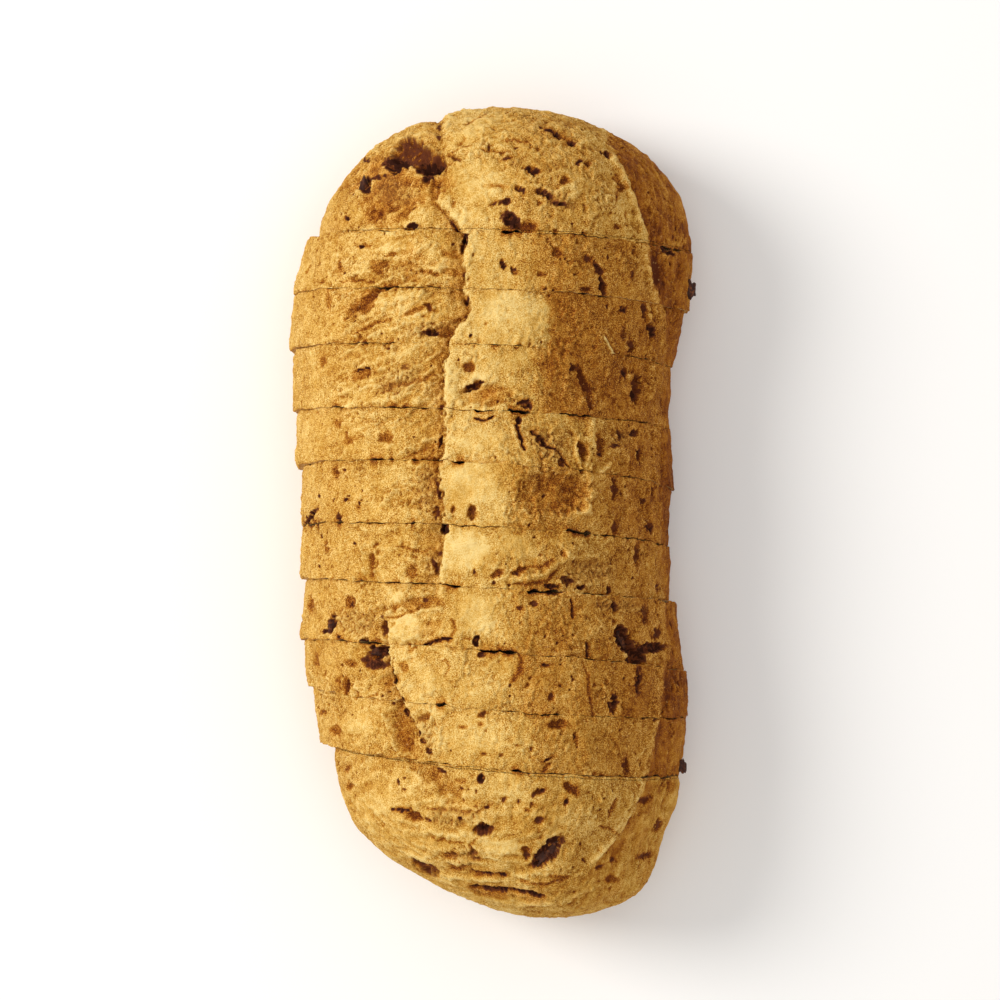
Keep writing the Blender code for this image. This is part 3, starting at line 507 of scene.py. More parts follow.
# The same for flakes drawn out along the strands
DRAWN_FLAKES = ((94, 3.6, 0.1, 0.24), (95, 2.4, 0.3, 0.18), (96, 5.0, 0.0, 0.24))
DRAWN_OUT = 2.8  # how much longer these are than wide

# Crust torn open to the crumb: pixel column and row, half length, half width, turn
TORN = {
    "slice_4": (
        (546, 446, 22, 13, 36), (622, 438, 12, 9, -35),
    ),
    "slice_5": (
        (424, 488, 12, 24, 0),
    ),
    "slice_6": (
        (588, 574, 30, 15, 0), (431, 562, 10, 14, 0),
    ),
    "slice_7": (
        (618, 606, 28, 7, 8), (352, 622, 22, 14, 0),
    ),
    "slice_3": (
        (395, 382, 34, 18, -25),
    ),
    "slice_2": (
        (430, 328, 30, 8, -10),
    ),
    "slice_9": (
        (424, 732, 9, 22, -25),
    ),
    "near_heel": (
        (452, 816, 36, 10, 0), (466, 856, 16, 12, 0),
    ),
    "far_heel": (
        (393, 190, 28, 14, 20), (560, 200, 20, 8, 20),
    ),
}

# The rim where the crust turns down into the loaf's right wall: pixel row and column
WALL_PIXELS = (
    (140, 604), (165, 620), (195, 634), (225, 642), (252, 648), (275, 653), (300, 658),
    (345, 664), (400, 658), (470, 658), (560, 656), (610, 662), (650, 666), (700, 660),
    (725, 655), (760, 648), (790, 640), (815, 630), (840, 612), (862, 592), (900, 560),
)
# How strongly that rim stands out: pixel row and share
WALL_STRENGTH = ((120, 0.0), (165, 0.8), (300, 1.0), (330, 0.5), (360, 0.3), (650, 0.3),
                 (700, 0.8), (850, 0.8), (870, 0.0))

# How much browner than the crust beside it that wall is, where it isn't 0.12: partly browner
# crust, partly painted shade
WALL_BROWNING_AND_SHADE = {"far_heel": 0.32, "slice_2": 0.05, "slice_3": 0.0, "near_heel": 0.05}

# Stretches where a cut gapes, by cut: first and last pixel column, half gap in mm
GAPING = (
    ((500, 524, 0.5), (536, 610, 0.15), (640, 660, 0.15), (660, 682, 0.5)),
    ((300, 340, 0.1), (376, 400, 0.45), (405, 442, 0.22), (580, 608, 0.2)),
    ((300, 330, 0.1), (345, 371, 0.2), (382, 396, 0.25), (463, 524, 0.15), (620, 662, 0.2)),
    ((330, 345, 0.25), (385, 432, 0.15), (473, 494, 0.4), (507, 531, 0.65), (558, 592, 0.35),
     (603, 660, 0.2)),
    ((368, 395, 0.35), (410, 447, 0.3), (450, 466, 0.4), (573, 586, 0.2), (605, 655, 0.2)),
    ((302, 322, 0.5), (335, 345, 0.3), (350, 384, 0.12), (403, 417, 0.15),
     (448, 502, 0.15), (565, 592, 0.5), (592, 668, 0.3)),
    ((306, 350, 0.1), (355, 373, 0.25), (383, 436, 0.15), (436, 462, 0.25),
     (526, 560, 0.6), (575, 612, 0.25), (618, 640, 0.12), (651, 672, 0.4)),
    ((338, 358, 0.2), (358, 384, 0.4), (476, 518, 0.5), (565, 628, 0.2)),
    ((352, 360, 0.1), (434, 447, 0.4), (497, 540, 0.12), (540, 560, 0.3), (580, 640, 0.15),
     (640, 685, 0.3)),
    ((381, 418, 0.15), (440, 500, 0.12), (510, 532, 0.3), (532, 640, 0.15),
     (640, 680, 0.45)),
)
LEAST_HALF_GAP = 0.02
# The stretch of the first cut that the crust's strands hide: pixel columns and row
HIDDEN_CUT = (336, 446, 231)
FLANK_HALF_GAP = 0.12

# Baked vegetable pieces in the crust: piece, pixel column and row, length and width in
# millimetres, turn in degrees and the share of its thickness that stands proud
VEGETABLES = (
    ("far_heel", 363, 184, 4.6, 2.0, 105, 0.3),
    ("slice_7", 331, 626, 2.0, 4.0, 5, 0.25),
    ("slice_8", 377, 651, 3.2, 2.6, 0, 0.2),
    ("slice_7", 621, 640, 2.0, 5.0, -22, 0.1),
    ("near_heel", 547, 852, 8.6, 3.2, -45, 0.15),
)
# The two that stick out of the right flank: place, length and width
FLANK_VEGETABLES = (((55.3, 61.8, 24.0), 5.4, 3.6), ((52.9, -70.6, 24.0), 4.0, 2.6))

# How finely a piece is divided
SLICE_AROUND = 960
HEEL_AROUND = 720
SLICE_RINGS = 50
HEEL_RINGS = 124
FACE_RINGS = 8
FOOT_POINTS = 60
CREST_POINTS = 900
BASE_POINTS = 40
BASE_WEIGHT = 0.22  # share of the points that the hidden base gets, against the crust
EDGE_STEPS = (0.0, 0.1, 0.24, 0.42, 0.66)  # first rings in from a cut, in millimetres
INNER_START = 1.0  # where the evenly spaced rings start, in millimetres from the cut

# The crust's unevenness, from coarse to fine: spacing in millimetres and seed
SWELL = (4.2, 1)
MIDDLE = (2.6, 2)
FINE = (1.3, 3)
GRAIN = (0.8, 4)
BROAD = (12.0, 5)

# Heights in millimetres above the table
UPPER_START = 24.0  # where the upper crust starts, which the photograph shows
UPPER_FADE = 10.0
WALL_START = 18.0
WALL_FADE = 8.0
GAPING_FOOT = 25.0  # the lowest place where a cut gapes as the photograph shows
FLANK_TOP = 34.0

STRAND_SLANT = 28.0  # how steeply the left lobe's strands rise to the right, in degrees
HEEL_HOLD = 3.0  # how far a cut's plane is held in a heel's relief, in millimetres
# The wall's browning is partly painted shade on the side away from the key lamp
USUAL_WALL_BROWNING_AND_SHADE = 0.12  # how much browner than the crust the right wall mostly is
RIM_TOASTING = (0.5, 0.2, 0.0)  # crust colour in the cut face's first rings
LUMP_FLATNESS = 0.4  # thickness of a vegetable piece as a share of its width
LUMP_LIFT = 0.0002  # how far it is lifted, in metres, to lie clear of the crust's bumps
FLANK_NORMAL = (0.6, 0.0, 1.0)


# Small tools

def mix(start, end, share):
    return start + (end - start) * share


def smooth_step(value):
    value = np.clip(value, 0.0, 1.0)
    return value * value * (3.0 - 2.0 * value)


def rise(value, start, width):
    """0 up to the start, 1 from a width further on, and smooth between."""
    return smooth_step((value - start) / width)


def fall(value, end, width):
    """1 up to a width before the end, 0 beyond the end, and smooth between."""
    return smooth_step((end - value) / width)


def bell(value, middle, width):
    return np.exp(-((value - middle) / width) ** 2)


def lattice(seed):
    """Random gradients and a shuffle that the noise below reads."""
    draw = np.random.default_rng(seed)
    gradients = draw.normal(size=(256, 3))
    gradients /= np.linalg.norm(gradients, axis=1)[:, None]
    return draw.permutation(256), gradients.astype(np.float32)


def noise(points, spacing, seed=0):
    """Smooth gradient noise of about -1 to 1 at points, with bumps of that spacing."""
    shuffle, gradients = lattice(seed)
    scaled = np.asarray(points) / spacing
    cell = np.floor(scaled).astype(int)
    inside = (scaled - cell).astype(np.float32)
    fade = inside ** 3 * (inside * (inside * 6.0 - 15.0) + 10.0)
    total = np.zeros(scaled.shape[:-1], np.float32)
    for corner in np.ndindex(2, 2, 2):
        spot = cell + corner
        index = shuffle[spot[..., 0] & 255]
        index = shuffle[(index + spot[..., 1]) & 255]
        index = shuffle[(index + spot[..., 2]) & 255]
        away = inside - np.array(corner, np.float32)
        weight = np.prod(np.where(corner, fade, 1.0 - fade), axis=-1)
        total += weight * np.sum(gradients[index] * away, axis=-1)
    return total * 1.6


def layered_noise(points, spacing, layers, seed=0):
    total = 0.0
    for layer in range(layers):
        total = total + noise(points, spacing / 2.0 ** layer, seed + layer) / 2.0 ** layer
    return total


def ridged(points, spacing, seed):
    """Sharp creases between rounded swellings, of about -1 to 1."""
    return 1.0 - 4.0 * np.minimum(np.abs(noise(points, spacing, seed)), 0.5)


def photo_pixels(points):
    """Pixel column and row of the photograph at which each point shows."""
    scale = PIXELS_PER_SLOPE / (CAMERA_HEIGHT - points[..., 2])
    column = SPOT_PIXEL[0] + (points[..., 0] - CAMERA_SPOT[0]) * scale
    row = SPOT_PIXEL[1] - (points[..., 1] - CAMERA_SPOT[1]) * scale
    return column, row


def oval(column, row, spot):
    """Distance from an oval's middle, where its rim is 1."""
    middle_column, middle_row, half_length, half_width, turn = spot[:5]
    angle = math.radians(turn)
    across = column - middle_column
    down = row - middle_row
    along = across * math.cos(angle) + down * math.sin(angle)
    aside = down * math.cos(angle) - across * math.sin(angle)
    return np.hypot(along / half_length, aside / half_width)


# The loaf's form

def cut_place(cut, x, z):
    """Place along the loaf of a cut's plane."""
    middle, turn, lean = cut
    slope = math.tan(math.radians(turn))
    tilt = math.tan(math.radians(lean))
    return middle + slope * x + tilt * (z - LEAN_PIVOT)


def crest_at(y):
    return CREST_HEIGHT - CREST_FALL * abs(y / HALF_LENGTH) ** CREST_BEND


def crust_height(x, left, right, crest):
    middle = mix(left, right, CREST_SHARE)
    heights = []
    for flank, reach in ((LEFT_FLANK, middle - left), (RIGHT_FLANK, right - middle)):
        outward = np.clip(np.abs(x - middle) / reach, 0.0, 1.0)
        climb = (1.0 - outward ** flank["across"]) ** (1.0 / flank["up"])
        heights.append(flank["height"] + (crest - flank["height"]) * climb)
    return np.where(x < middle, heights[0], heights[1])


def foot(reach, flank, inward):
    """The rounded edge between the base and a flank's widest place."""
    angle = np.linspace(0.0, 0.5 * math.pi, FOOT_POINTS)
    across = reach + inward * flank["tuck"] * (1.0 - np.sin(angle))
    return across, flank["height"] * (1.0 - np.cos(angle))


def section(left, right, crest, around):
    """A cross-section's outline from mid base, by the left, round to mid base again."""
    left_x, left_z = foot(left, LEFT_FLANK, 1.0)
    right_x, right_z = foot(right, RIGHT_FLANK, -1.0)
    turn = np.linspace(0.0, math.pi, CREST_POINTS)
    top_x = mix(left, right, 0.5 - 0.5 * np.cos(turn))
    top_z = crust_height(top_x, left, right, crest)
    base = np.linspace(0.0, 1.0, BASE_POINTS)
    base_z = np.zeros(base.size - 1)
    middle = 0.5 * (left_x[0] + right_x[0])
    left_base = mix(middle, left_x[0], base[:-1])
    right_base = mix(right_x[0], middle, base[1:])
    x = np.concatenate((left_base, left_x, top_x[1:-1], right_x[::-1], right_base))
    z = np.concatenate((base_z, left_z, top_z[1:-1], right_z[::-1], base_z))
    step = np.hypot(np.diff(x), np.diff(z))
    step *= np.where(z[1:] + z[:-1] > 0.0, 1.0, BASE_WEIGHT)
    travelled = np.concatenate(((0.0,), np.cumsum(step)))
    wanted = np.arange(around) / around * travelled[-1]
    return np.interp(wanted, travelled, x), np.interp(wanted, travelled, z)


def hidden_cut(column):
    """How far the first cut is hidden, 0 to 1, at each pixel column."""
    first, last, _ = HIDDEN_CUT
    return rise(column, first, 12.0) * fall(column, last, 12.0)


def half_gap(number, column, height, seed):
    """Half the width of a cut's opening along the slices' edges."""
    gap = np.full(column.shape, LEAST_HALF_GAP)
    for first, last, width in GAPING[number]:
        inside = rise(column, first, 3.0) * fall(column, last, 3.0)
        gap = np.maximum(gap, width * inside * (height > GAPING_FOOT))
    gap = np.maximum(gap, FLANK_HALF_GAP * fall(height, FLANK_TOP, 10.0))
    spots = np.stack((column * PIXEL, height, np.full(column.shape, 7.0 * seed)), -1)
    ragged = layered_noise(spots, 2.4, 4, seed)
    gap = gap * np.clip(0.62 + 0.9 * ragged, 0.05, 2.0) + 0.2 * np.maximum(ragged - 0.3, 0.0)
    if number == 0:
        gap *= 1.0 - 0.9 * hidden_cut(column) * rise(height, FLANK_TOP, 10.0)
    return gap


def edge_wave(points):
    """How far a cut's line at the crust strays from its plane, in millimetres."""
    flat = points * np.array((1.0, 0.0, 1.0)) + np.array((0.0, 9.0, 0.0))
    return 0.5 * noise(flat, 7.0, 71) + 0.3 * noise(flat, 2.6, 72)


def ring_shares(thickness):
    """Shares of a slice's thickness at which its crust has a ring, close at the edges."""
    edge = np.array(EDGE_STEPS)
    inner = np.linspace(INNER_START, thickness - INNER_START, SLICE_RINGS - 2 * edge.size)
    return np.concatenate((edge, inner, thickness - edge[::-1])) / thickness


def slice_form(number):
    """Crust rings of a slice and how far each ring is from the nearer cut."""
    far_cut, near_cut = CUTS[number - 1:number + 1]
    left_far, left_near, right_far, right_near, raised = SLICES[number - 1]
    thickness = far_cut[0] - near_cut[0]
    shares = ring_shares(thickness)
    rings = []
    for share in shares:
        left = mix(left_far, left_near, share)
        right = mix(right_far, right_near, share)
        crest = crest_at(mix(far_cut[0], near_cut[0], share)) + raised
        x, z = section(left, right, crest, SLICE_AROUND)
        y = mix(cut_place(far_cut, x, z), cut_place(near_cut, x, z), share)
        rings.append(np.stack((x, y, z), -1))
    return np.array(rings), np.minimum(shares, 1.0 - shares) * thickness


def closing(depth, power):
    return max(1.0 - depth ** power, 0.0) ** (1.0 / power)


def heel_depths(length):
    """Shares of a heel's length at which its crust has a ring, close at both ends."""
    steps = np.linspace(0.0, 0.5 * math.pi, HEEL_RINGS - len(EDGE_STEPS) + 2)
    return np.concatenate((np.array(EDGE_STEPS) / length, np.sin(steps[1:-1])))


def heel_form(heel, cut):
    """Crust rings of a heel from its cut to its tip, and how far each is from the cut."""
    tip_x, tip_y, tip_z = heel["tip"]
    cut_middle = mix(heel["left"], heel["right"], 0.5)
    crest = crest_at(cut[0])
    full_x, full_z = section(heel["left"], heel["right"], crest, HEEL_AROUND)
    share = (full_x - heel["left"]) / (heel["right"] - heel["left"])
    length = abs(tip_y - cut[0])
    depths = heel_depths(length)
    start = heel["drift_start"]
    rings = []
    for depth in depths:
        under = max(depth - UNDERCUT_START, 0.0) / (1.0 - UNDERCUT_START)
        middle = mix(cut_middle, tip_x, smooth_step((depth - start) / (1.0 - start)))
        left = middle + (heel["left"] - cut_middle) * closing(depth, heel["round_left"])
        right = middle + (heel["right"] - cut_middle) * closing(depth, heel["round_right"])
        upper_scale = closing(depth, heel["round_top"])
        z_scale = np.where(full_z > tip_z, upper_scale, math.sqrt(1.0 - under ** 2))
        x = mix(left, right, share)
        z = tip_z + (full_z - tip_z) * z_scale
        y = mix(cut_place(cut, x, z), tip_y, depth)
        rings.append(np.stack((x, y, z), -1))
    return np.array(rings), depths * length


# Relief of the crust

def facing_out(rings):
    """Outward unit normals of a grid of rings that run from far to near."""
    around = np.roll(rings, -1, 1) - np.roll(rings, 1, 1)
    along = np.gradient(rings, axis=0)
    normal = np.cross(along, around)
    length = np.linalg.norm(normal, axis=-1, keepdims=True)
    return normal / np.maximum(length, 1e-9)


def blurred(grid, radius):
    """A grid of rings averaged over its neighbours, round and along."""
    total = np.zeros(grid.shape)
    for shift in range(-radius, radius + 1):
        total += np.roll(grid, shift, 1)
    total /= 2 * radius + 1
    padded = np.pad(total, ((radius, radius), (0, 0)), mode="edge")
    rows = [padded[shift:shift + len(grid)] for shift in range(2 * radius + 1)]
    return np.mean(rows, axis=0)


class Crust:
    """The crust of one piece: relief along the crust's normal, in millimetres,
    and the masks that its colours follow: the oven's browning and char, and painted shade and
    painted light."""

    def __init__(self, name, points, from_cut):
        self.name = name
        self.points = points
        self.from_cut = from_cut[:, None] * np.ones(points.shape[:2])
        self.column, self.row = photo_pixels(points)
        self.normal = facing_out(points)
        self.height = points[..., 2]
        self.upper = rise(self.height, UPPER_START, UPPER_FADE)
        self.top = rise(self.normal[..., 2], 0.02, 0.2) * self.upper
        self.swell = noise(points, *SWELL)
        self.middle = noise(points, *MIDDLE)
        self.fine = noise(points, *FINE)
        self.grain = noise(points, *GRAIN)
        self.broad = noise(points, *BROAD)
        self.stray = [
            2.4 * noise(points, 1.8, seed) + 1.6 * noise(points, 0.8, seed + 1)
            for seed in (8, 10)
        ]
        self.relief = 0.5 * self.broad + 0.28 * self.swell
        self.relief += 0.15 * self.middle + 0.12 * ridged(points, 4.0, 6)
        self.smooth = np.zeros(self.height.shape)
        self.masks = {label: np.zeros(self.height.shape) for label in
                      ("browning_and_shade", "char_and_shade", "pale", "torn", "raised")}

    def mark(self, label, values):
        self.masks[label] = np.maximum(self.masks[label], values)

    def strayed(self, share):
        """Pixel column and row of each point, strayed so that drawn shapes turn ragged."""
        return self.column + share * self.stray[0], self.row + share * self.stray[1]

    def inside(self, spot, rim, softness, ragged=1.0):
        """How far inside an oval with a ragged rim each point lies, 0 to 1."""
        distance = oval(*self.strayed(ragged * min(spot[3] / 3.0, 0.9)), spot)
        uneven = ragged * (0.2 * self.middle + 0.14 * self.fine + 0.16 * self.grain)
        uneven += 0.4 * min(spot[3] / 20.0, 1.0) * self.broad
        return smooth_step((rim - distance - uneven) / softness) * self.top

    def from_path(self, path, ragged):
        """Distance in pixels from a line through the path's pixels, and the share of the
        line at which each point lies beside it."""
        places = np.stack(self.strayed(ragged), -1)
        nearest = np.full(self.height.shape, np.inf)
        progress = np.zeros(self.height.shape)
        travelled = 0.0
        for start, end in zip(path[:-1], path[1:]):
            way = np.subtract(end, start).astype(float)
            length = math.hypot(*way)
            away = places - start
            share = np.clip(away @ way / length ** 2, 0.0, 1.0)
            distance = np.linalg.norm(away - share[..., None] * way, axis=-1)
            closer = distance < nearest
            progress[closer] = travelled + length * share[closer]
            nearest[closer] = distance[closer]
            travelled += length
        return nearest, progress / travelled

    def strand_shares(self):
        """How much the crust is drawn into slanting strands, by pixel column and row, and
        how much into level ones, as on the near heel."""
        left_lobe = fall(self.column, 452.0, 20.0) * rise(self.column, 318.0, 40.0)
        belt = 0.4 + 0.6 * rise(self.row, 215.0, 30.0) * fall(self.row, 450.0, 50.0)
        near = rise(self.row, 775.0, 40.0) * fall(self.column, 610.0, 80.0)
        right = 0.45 * rise(self.column, 450.0, 20.0) * fall(self.row, 215.0, 60.0)
        return left_lobe * belt + right, near

    def drawn_out(self, stretch):
        """The points with the crust's slant drawn in, so that noise on them runs in
        strands: on the left lobe they rise to the right, on the near heel they are level."""
        x, y, z = np.moveaxis(self.points, -1, 0)
        bend = 2.6 * noise(self.points, 17.0, 40)
        angle = math.radians(STRAND_SLANT)
        along = x * math.cos(angle) + y * math.sin(angle)
        across = y * math.cos(angle) - x * math.sin(angle) + bend
        slanted = np.stack((along / stretch, across, 0.4 * z), -1)
        level = np.stack((x / (1.2 * stretch), y + 0.6 * bend, z), -1)
        return slanted, level

    def skins(self):
        for spot in SKINS.get(self.name, ()):
            inside = self.inside(spot, 1.2, 0.7)
            self.relief += spot[5] * inside
            self.mark("pale", SKIN_PALENESS * spot[6] * inside)
            self.smooth = np.maximum(self.smooth, spot[6] * inside)

    def flakes(self):
        """Thin layers of crust that end in ragged steps."""
        slanted, level_out = self.drawn_out(DRAWN_OUT)
        share, near = self.strand_shares()
        self.smooth = np.maximum(self.smooth, 0.45 * near)
        flat = 1.0 - 0.8 * np.minimum(self.smooth, 1.0)
        drawn = mix(slanted, level_out, near[..., None])
        share = np.maximum(share, 0.7 * near)
        for places, rows, shown in ((self.points, FLAKES, 1.0), (drawn, DRAWN_FLAKES, share)):
            for seed, spacing, level, height in rows:
                layer = noise(places, spacing, seed) + 0.22 * self.fine + 0.1 * self.grain
                step = smooth_step((layer - level) / 0.07 + 0.5) * self.top
                self.relief += height * (step - 0.6 * self.top) * flat * shown

    def drawn_strands(self):
        """Long drawn-out wrinkles."""
        slanted, level = self.drawn_out(5.0)
        share, near = self.strand_shares()
        slant = 0.31 * ridged(slanted, 3.8, 41) + 0.16 * ridged(slanted, 1.7, 42)
        flat = 0.24 * ridged(level, 3.2, 43) + 0.12 * ridged(level, 1.5, 44)
        self.relief += self.top * (slant * share * (1.0 - near) + flat * near)
        # Painted light: the strands' ridges are coloured paler
        self.mark("pale", self.top * share * 0.4 * smooth_step(slant / 0.45))

    def tears(self):
        """Crust torn open to a coarse, celled crumb."""
        cells = np.abs(noise(self.points, 1.5, 6)) + 0.6 * np.abs(noise(self.points, 0.8, 7))
        for spot in TORN.get(self.name, ()):
            self.mark("torn", self.inside(spot, 1.15, 0.6))
        torn = self.masks["torn"]
        self.relief += torn * (1.6 * np.minimum(cells, 0.7) - 0.6)
        # Painted shade in the crumb's open cells
        self.mark("browning_and_shade", 0.8 * torn * fall(cells, 0.22, 0.2))
        self.mark("char_and_shade", 0.5 * torn * fall(cells, 0.1, 0.1))

    def streaks(self):
        """Streaks along the crust's slant, by which broad darker places vary."""
        slanted, _ = self.drawn_out(2.2)
        return np.clip(0.75 + 0.9 * noise(slanted, 3.2, 45) + 0.3 * self.middle, 0.1, 1.3)

    def folds(self):
        """Cracks, creases and ridges along the drawn lines."""
        streaks = self.streaks()
        uneven = np.clip(0.85 + 0.4 * self.middle + 0.25 * self.fine, 0.3, 1.5)
        broken = smooth_step(0.75 + 0.7 * self.fine + 0.9 * self.grain)
        for half_width, height, look, *path in FOLDS.get(self.name, ()):
            ragged = 1.3 if look == "valley" else min(0.6, 1.2 / half_width)
            distance, progress = self.from_path(path, ragged)
            taper = 0.45 + 0.55 * np.sqrt(np.maximum(np.sin(math.pi * progress), 0.0))
            breadth, steepness, paleness, browning = FOLD_LOOKS[look]
            width = breadth * half_width * uneven * taper
            shape = bell(distance, 0.0, width) * self.top
            self.relief += steepness * height * shape
            # Dark cracks: painted shade inside them and round them
            if look == "dark":
                self.mark("char_and_shade", smooth_step(2.0 * shape - 0.3) * broken)
                self.mark("browning_and_shade", 0.6 * bell(distance, 0.0, 2.6 * width) * self.top)
                continue
            # Brown creases and valleys are painted shade, pale ridges painted light
            if look == "valley":
                browning = browning * streaks
            self.mark("browning_and_shade", browning * shape)
            self.mark("pale", paleness * shape)

    def hollows(self):
        """Dents with a darker brown halo, near black where they are dark: partly the crust's own
        browning and char, partly painted shade in and round the dents.
        """
        chips = smooth_step(0.7 + 0.9 * self.fine + 0.8 * self.grain)
        streaks = self.streaks()
        for spot in HOLLOWS.get(self.name, ()):
            depth, brown, dark = spot[5:]
            narrow = min(spot[2:4])
            ragged = 0.65 + 0.35 * min(dark / 0.6, 1.0)
            dip = self.inside(spot, 1.1, 0.5, ragged) * (1.0 + 0.3 * ragged * self.grain)
            self.relief -= depth * dip
            halo = 1.15 + 1.6 / narrow
            halo_browning_and_shade = self.inside(spot, halo, 0.8 * halo - 0.2, ragged)
            if narrow > BROAD_HOLLOW:
                halo_browning_and_shade = halo_browning_and_shade * streaks
            # Painted shade, partly: the halo and the dark middle darken the dents
            self.mark("browning_and_shade", 0.62 * brown * halo_browning_and_shade)
            self.mark("char_and_shade", dark * self.inside(spot, 1.3, 0.6) * chips)

    def split_between_lobes(self, split):
        """The left lobe dips towards the split and the right lobe stands over it."""
        path, depths = (np.array(rows, float) for rows in split)
        drop, dip, bank = (
            np.interp(self.row, depths[:, 0], depths[:, place]) for place in (1, 2, 3)
        )
        along = self.points * np.array((0.0, 1.0, 0.0))
        ragged = 3.0 * noise(along, 5.0, 31) + 2.0 * self.middle + 1.2 * self.stray[0]
        beside = self.column - np.interp(self.row, path[:, 1], path[:, 0]) - ragged
        drop = drop * self.upper * rise(self.row, depths[0, 0], 10.0)
        bank = bank * (1.0 + 0.5 * noise(along, 5.0, 33))
        shown = smooth_step(drop / 2.0)
        towards = np.exp(np.minimum(beside, 0.0) / dip * 1.6)
        into = np.where(beside < 0.0, towards, 1.0 - smooth_step(beside / bank))
        rim = 0.45 * bell(beside, 7.0, 6.0) * shown * (0.6 + 0.8 * self.swell)
        self.relief -= drop * into - rim
        self.colour_split(beside, shown)

    def colour_split(self, beside, shown):
        # Painted shade where the left lobe dips to the split and in its crease, painted light on
        # the right lobe's bank that faces the key lamp
        dip_shade = bell(beside, -9.0, 13.0) * (beside < 3.0)
        patchy = np.clip(0.8 + 0.5 * self.fine + 0.6 * self.middle + 0.5 * self.swell, 0.0, 1.5)
        self.mark("browning_and_shade", 0.2 * dip_shade * shown * patchy)
        crease = bell(beside, -1.5, 2.4) * shown
        gaps = smooth_step(0.9 * self.swell + 0.7 * self.middle + 0.5 * self.fine)
        self.mark("char_and_shade", 0.65 * crease * gaps)
        band = smooth_step(beside / 8.0) * fall(beside, 72.0, 40.0) * shown
        self.mark("pale", band * (0.3 + 0.3 * self.swell))

    def pits(self):
        """Small blisters and pinholes that come at random, all over the crust."""
        off_base = rise(self.height, 5.0, 6.0)
        firm = np.minimum(self.smooth, 1.0)
        blister = noise(self.points, 2.9, 51) + 0.35 * self.fine
        dent = fall(blister, -0.62, 0.25) * off_base * (1.0 - 0.7 * firm)
        pinhole = fall(noise(self.points, 1.4, 52), -0.58, 0.14) * off_base
        pinhole *= smooth_step(noise(self.points, 8.0, 53) / 0.3) * (1.0 - firm)
        self.relief -= 0.35 * dent + 0.6 * pinhole
        # Painted shade in the dents and pinholes
        self.mark("browning_and_shade", np.maximum(0.35 * dent, 0.6 * pinhole))
        self.mark("char_and_shade", 0.4 * pinhole)

    def browning_and_shade_side(self):
        """The crust turns browner towards the right: partly real browning, partly painted shade
        where the crust turns away from the key lamp.
        """
        edge, softness, darkening, outer = BROWNING_AND_SHADE_SIDE[self.name]
        patchy = 8.0 * self.middle + 4.0 * self.fine + 6.0 * self.swell
        side = smooth_step((self.column - edge + patchy) / (2.0 * softness) + 0.5)
        further = rise(self.column, 590.0, 50.0)
        bare = 1.0 - 0.6 * np.minimum(self.masks["pale"], 1.0)
        # Painted shade, partly: the side turned away from the key lamp is darkened
        self.masks["browning_and_shade"] += (darkening * side + outer * further) * bare

    def right_wall(self):
        """The crust turns down over a pale rim into the browner right wall: partly browner crust,
        partly painted shade on the wall that faces away from the key lamp.
        """
        path = np.array(WALL_PIXELS, float)
        strength = np.array(WALL_STRENGTH, float)
        shown = np.interp(self.row, strength[:, 0], strength[:, 1])
        rim_column = np.interp(self.row, path[:, 0], path[:, 1])
        beside = self.column - rim_column + 2.5 * self.middle + 1.5 * self.fine
        low = 1.0 - rise(self.height, WALL_START, WALL_FADE)
        right_half = rise(self.points[..., 0], 10.0, 10.0)
        wall = np.maximum(rise(beside, 2.0, 5.0), low) * right_half
        rim = bell(beside, -1.0, 3.0) * shown * self.top
        strip = bell(beside, 12.0, 9.0) * shown * right_half
        streaks = ridged(self.points * np.array((1.0, 0.22, 0.5)), 3.0, 61)
        self.relief += 0.6 * rim + 0.1 * wall * streaks
        self.relief -= 0.7 * wall * shown * self.top
        self.mark("pale", 0.5 * rim)
        self.smooth = np.maximum(self.smooth, 0.8 * wall)
        # Painted shade: the wall and the strip below the rim are darkened, and the wall's streaks
        # paint it lighter on their ridges
        self.masks["browning_and_shade"] += WALL_BROWNING_AND_SHADE.get(self.name, USUAL_WALL_BROWNING_AND_SHADE) * wall
        self.masks["browning_and_shade"] += 0.3 * strip * (0.8 + 0.5 * self.middle)
        self.masks["browning_and_shade"] -= 0.08 * wall * streaks

    def left_shoulder(self):
        """The left lobe browns a little where it starts to turn down."""
        shoulder = bell(self.column, 338.0, 17.0) * self.top
        self.masks["browning_and_shade"] += 0.1 * shoulder * (1.0 + 0.8 * self.swell)

    def cut_edges(self):
        """The edges of the slices are worn a little, more so low on the left, and painted shade
        darkens the crust along each cut.
        """
        broken = smooth_step(0.5 + noise(self.points * np.array((1.0, 0.0, 1.0)), 8.0, 73))
        level = fall(np.abs(self.row - HIDDEN_CUT[2]), 16.0, 4.0)
        shown = 1.0 - level * hidden_cut(self.column)
        edge = np.exp(-self.from_cut / 0.4) * broken * shown
        low_left = fall(self.column, 316.0, 12.0)
        wear = 0.1 * broken * shown + 0.9 * low_left * (0.7 + 0.6 * self.middle)
        self.relief -= wear * np.exp(-self.from_cut / 0.7)
        # Painted shade along the cut lines
        self.mark("browning_and_shade", 0.22 * edge * (1.0 + self.middle))

    def bake(self):
        """The points moved out or in by the relief. Fills the masks on the way."""
        self.skins()
        self.flakes()
        self.drawn_strands()
        self.tears()
        self.folds()
        self.hollows()
        for split in (LONG_SPLIT, SHORT_SPLIT):
            self.split_between_lobes(split)
        self.pits()
        self.browning_and_shade_side()
        self.right_wall()
        self.left_shoulder()
        self.cut_edges()
        self.relief += (0.15 * self.fine + 0.12 * self.grain) * (1.0 - 0.55 * self.smooth)
        self.masks["calm"] = np.clip(self.smooth, 0.0, 1.0)
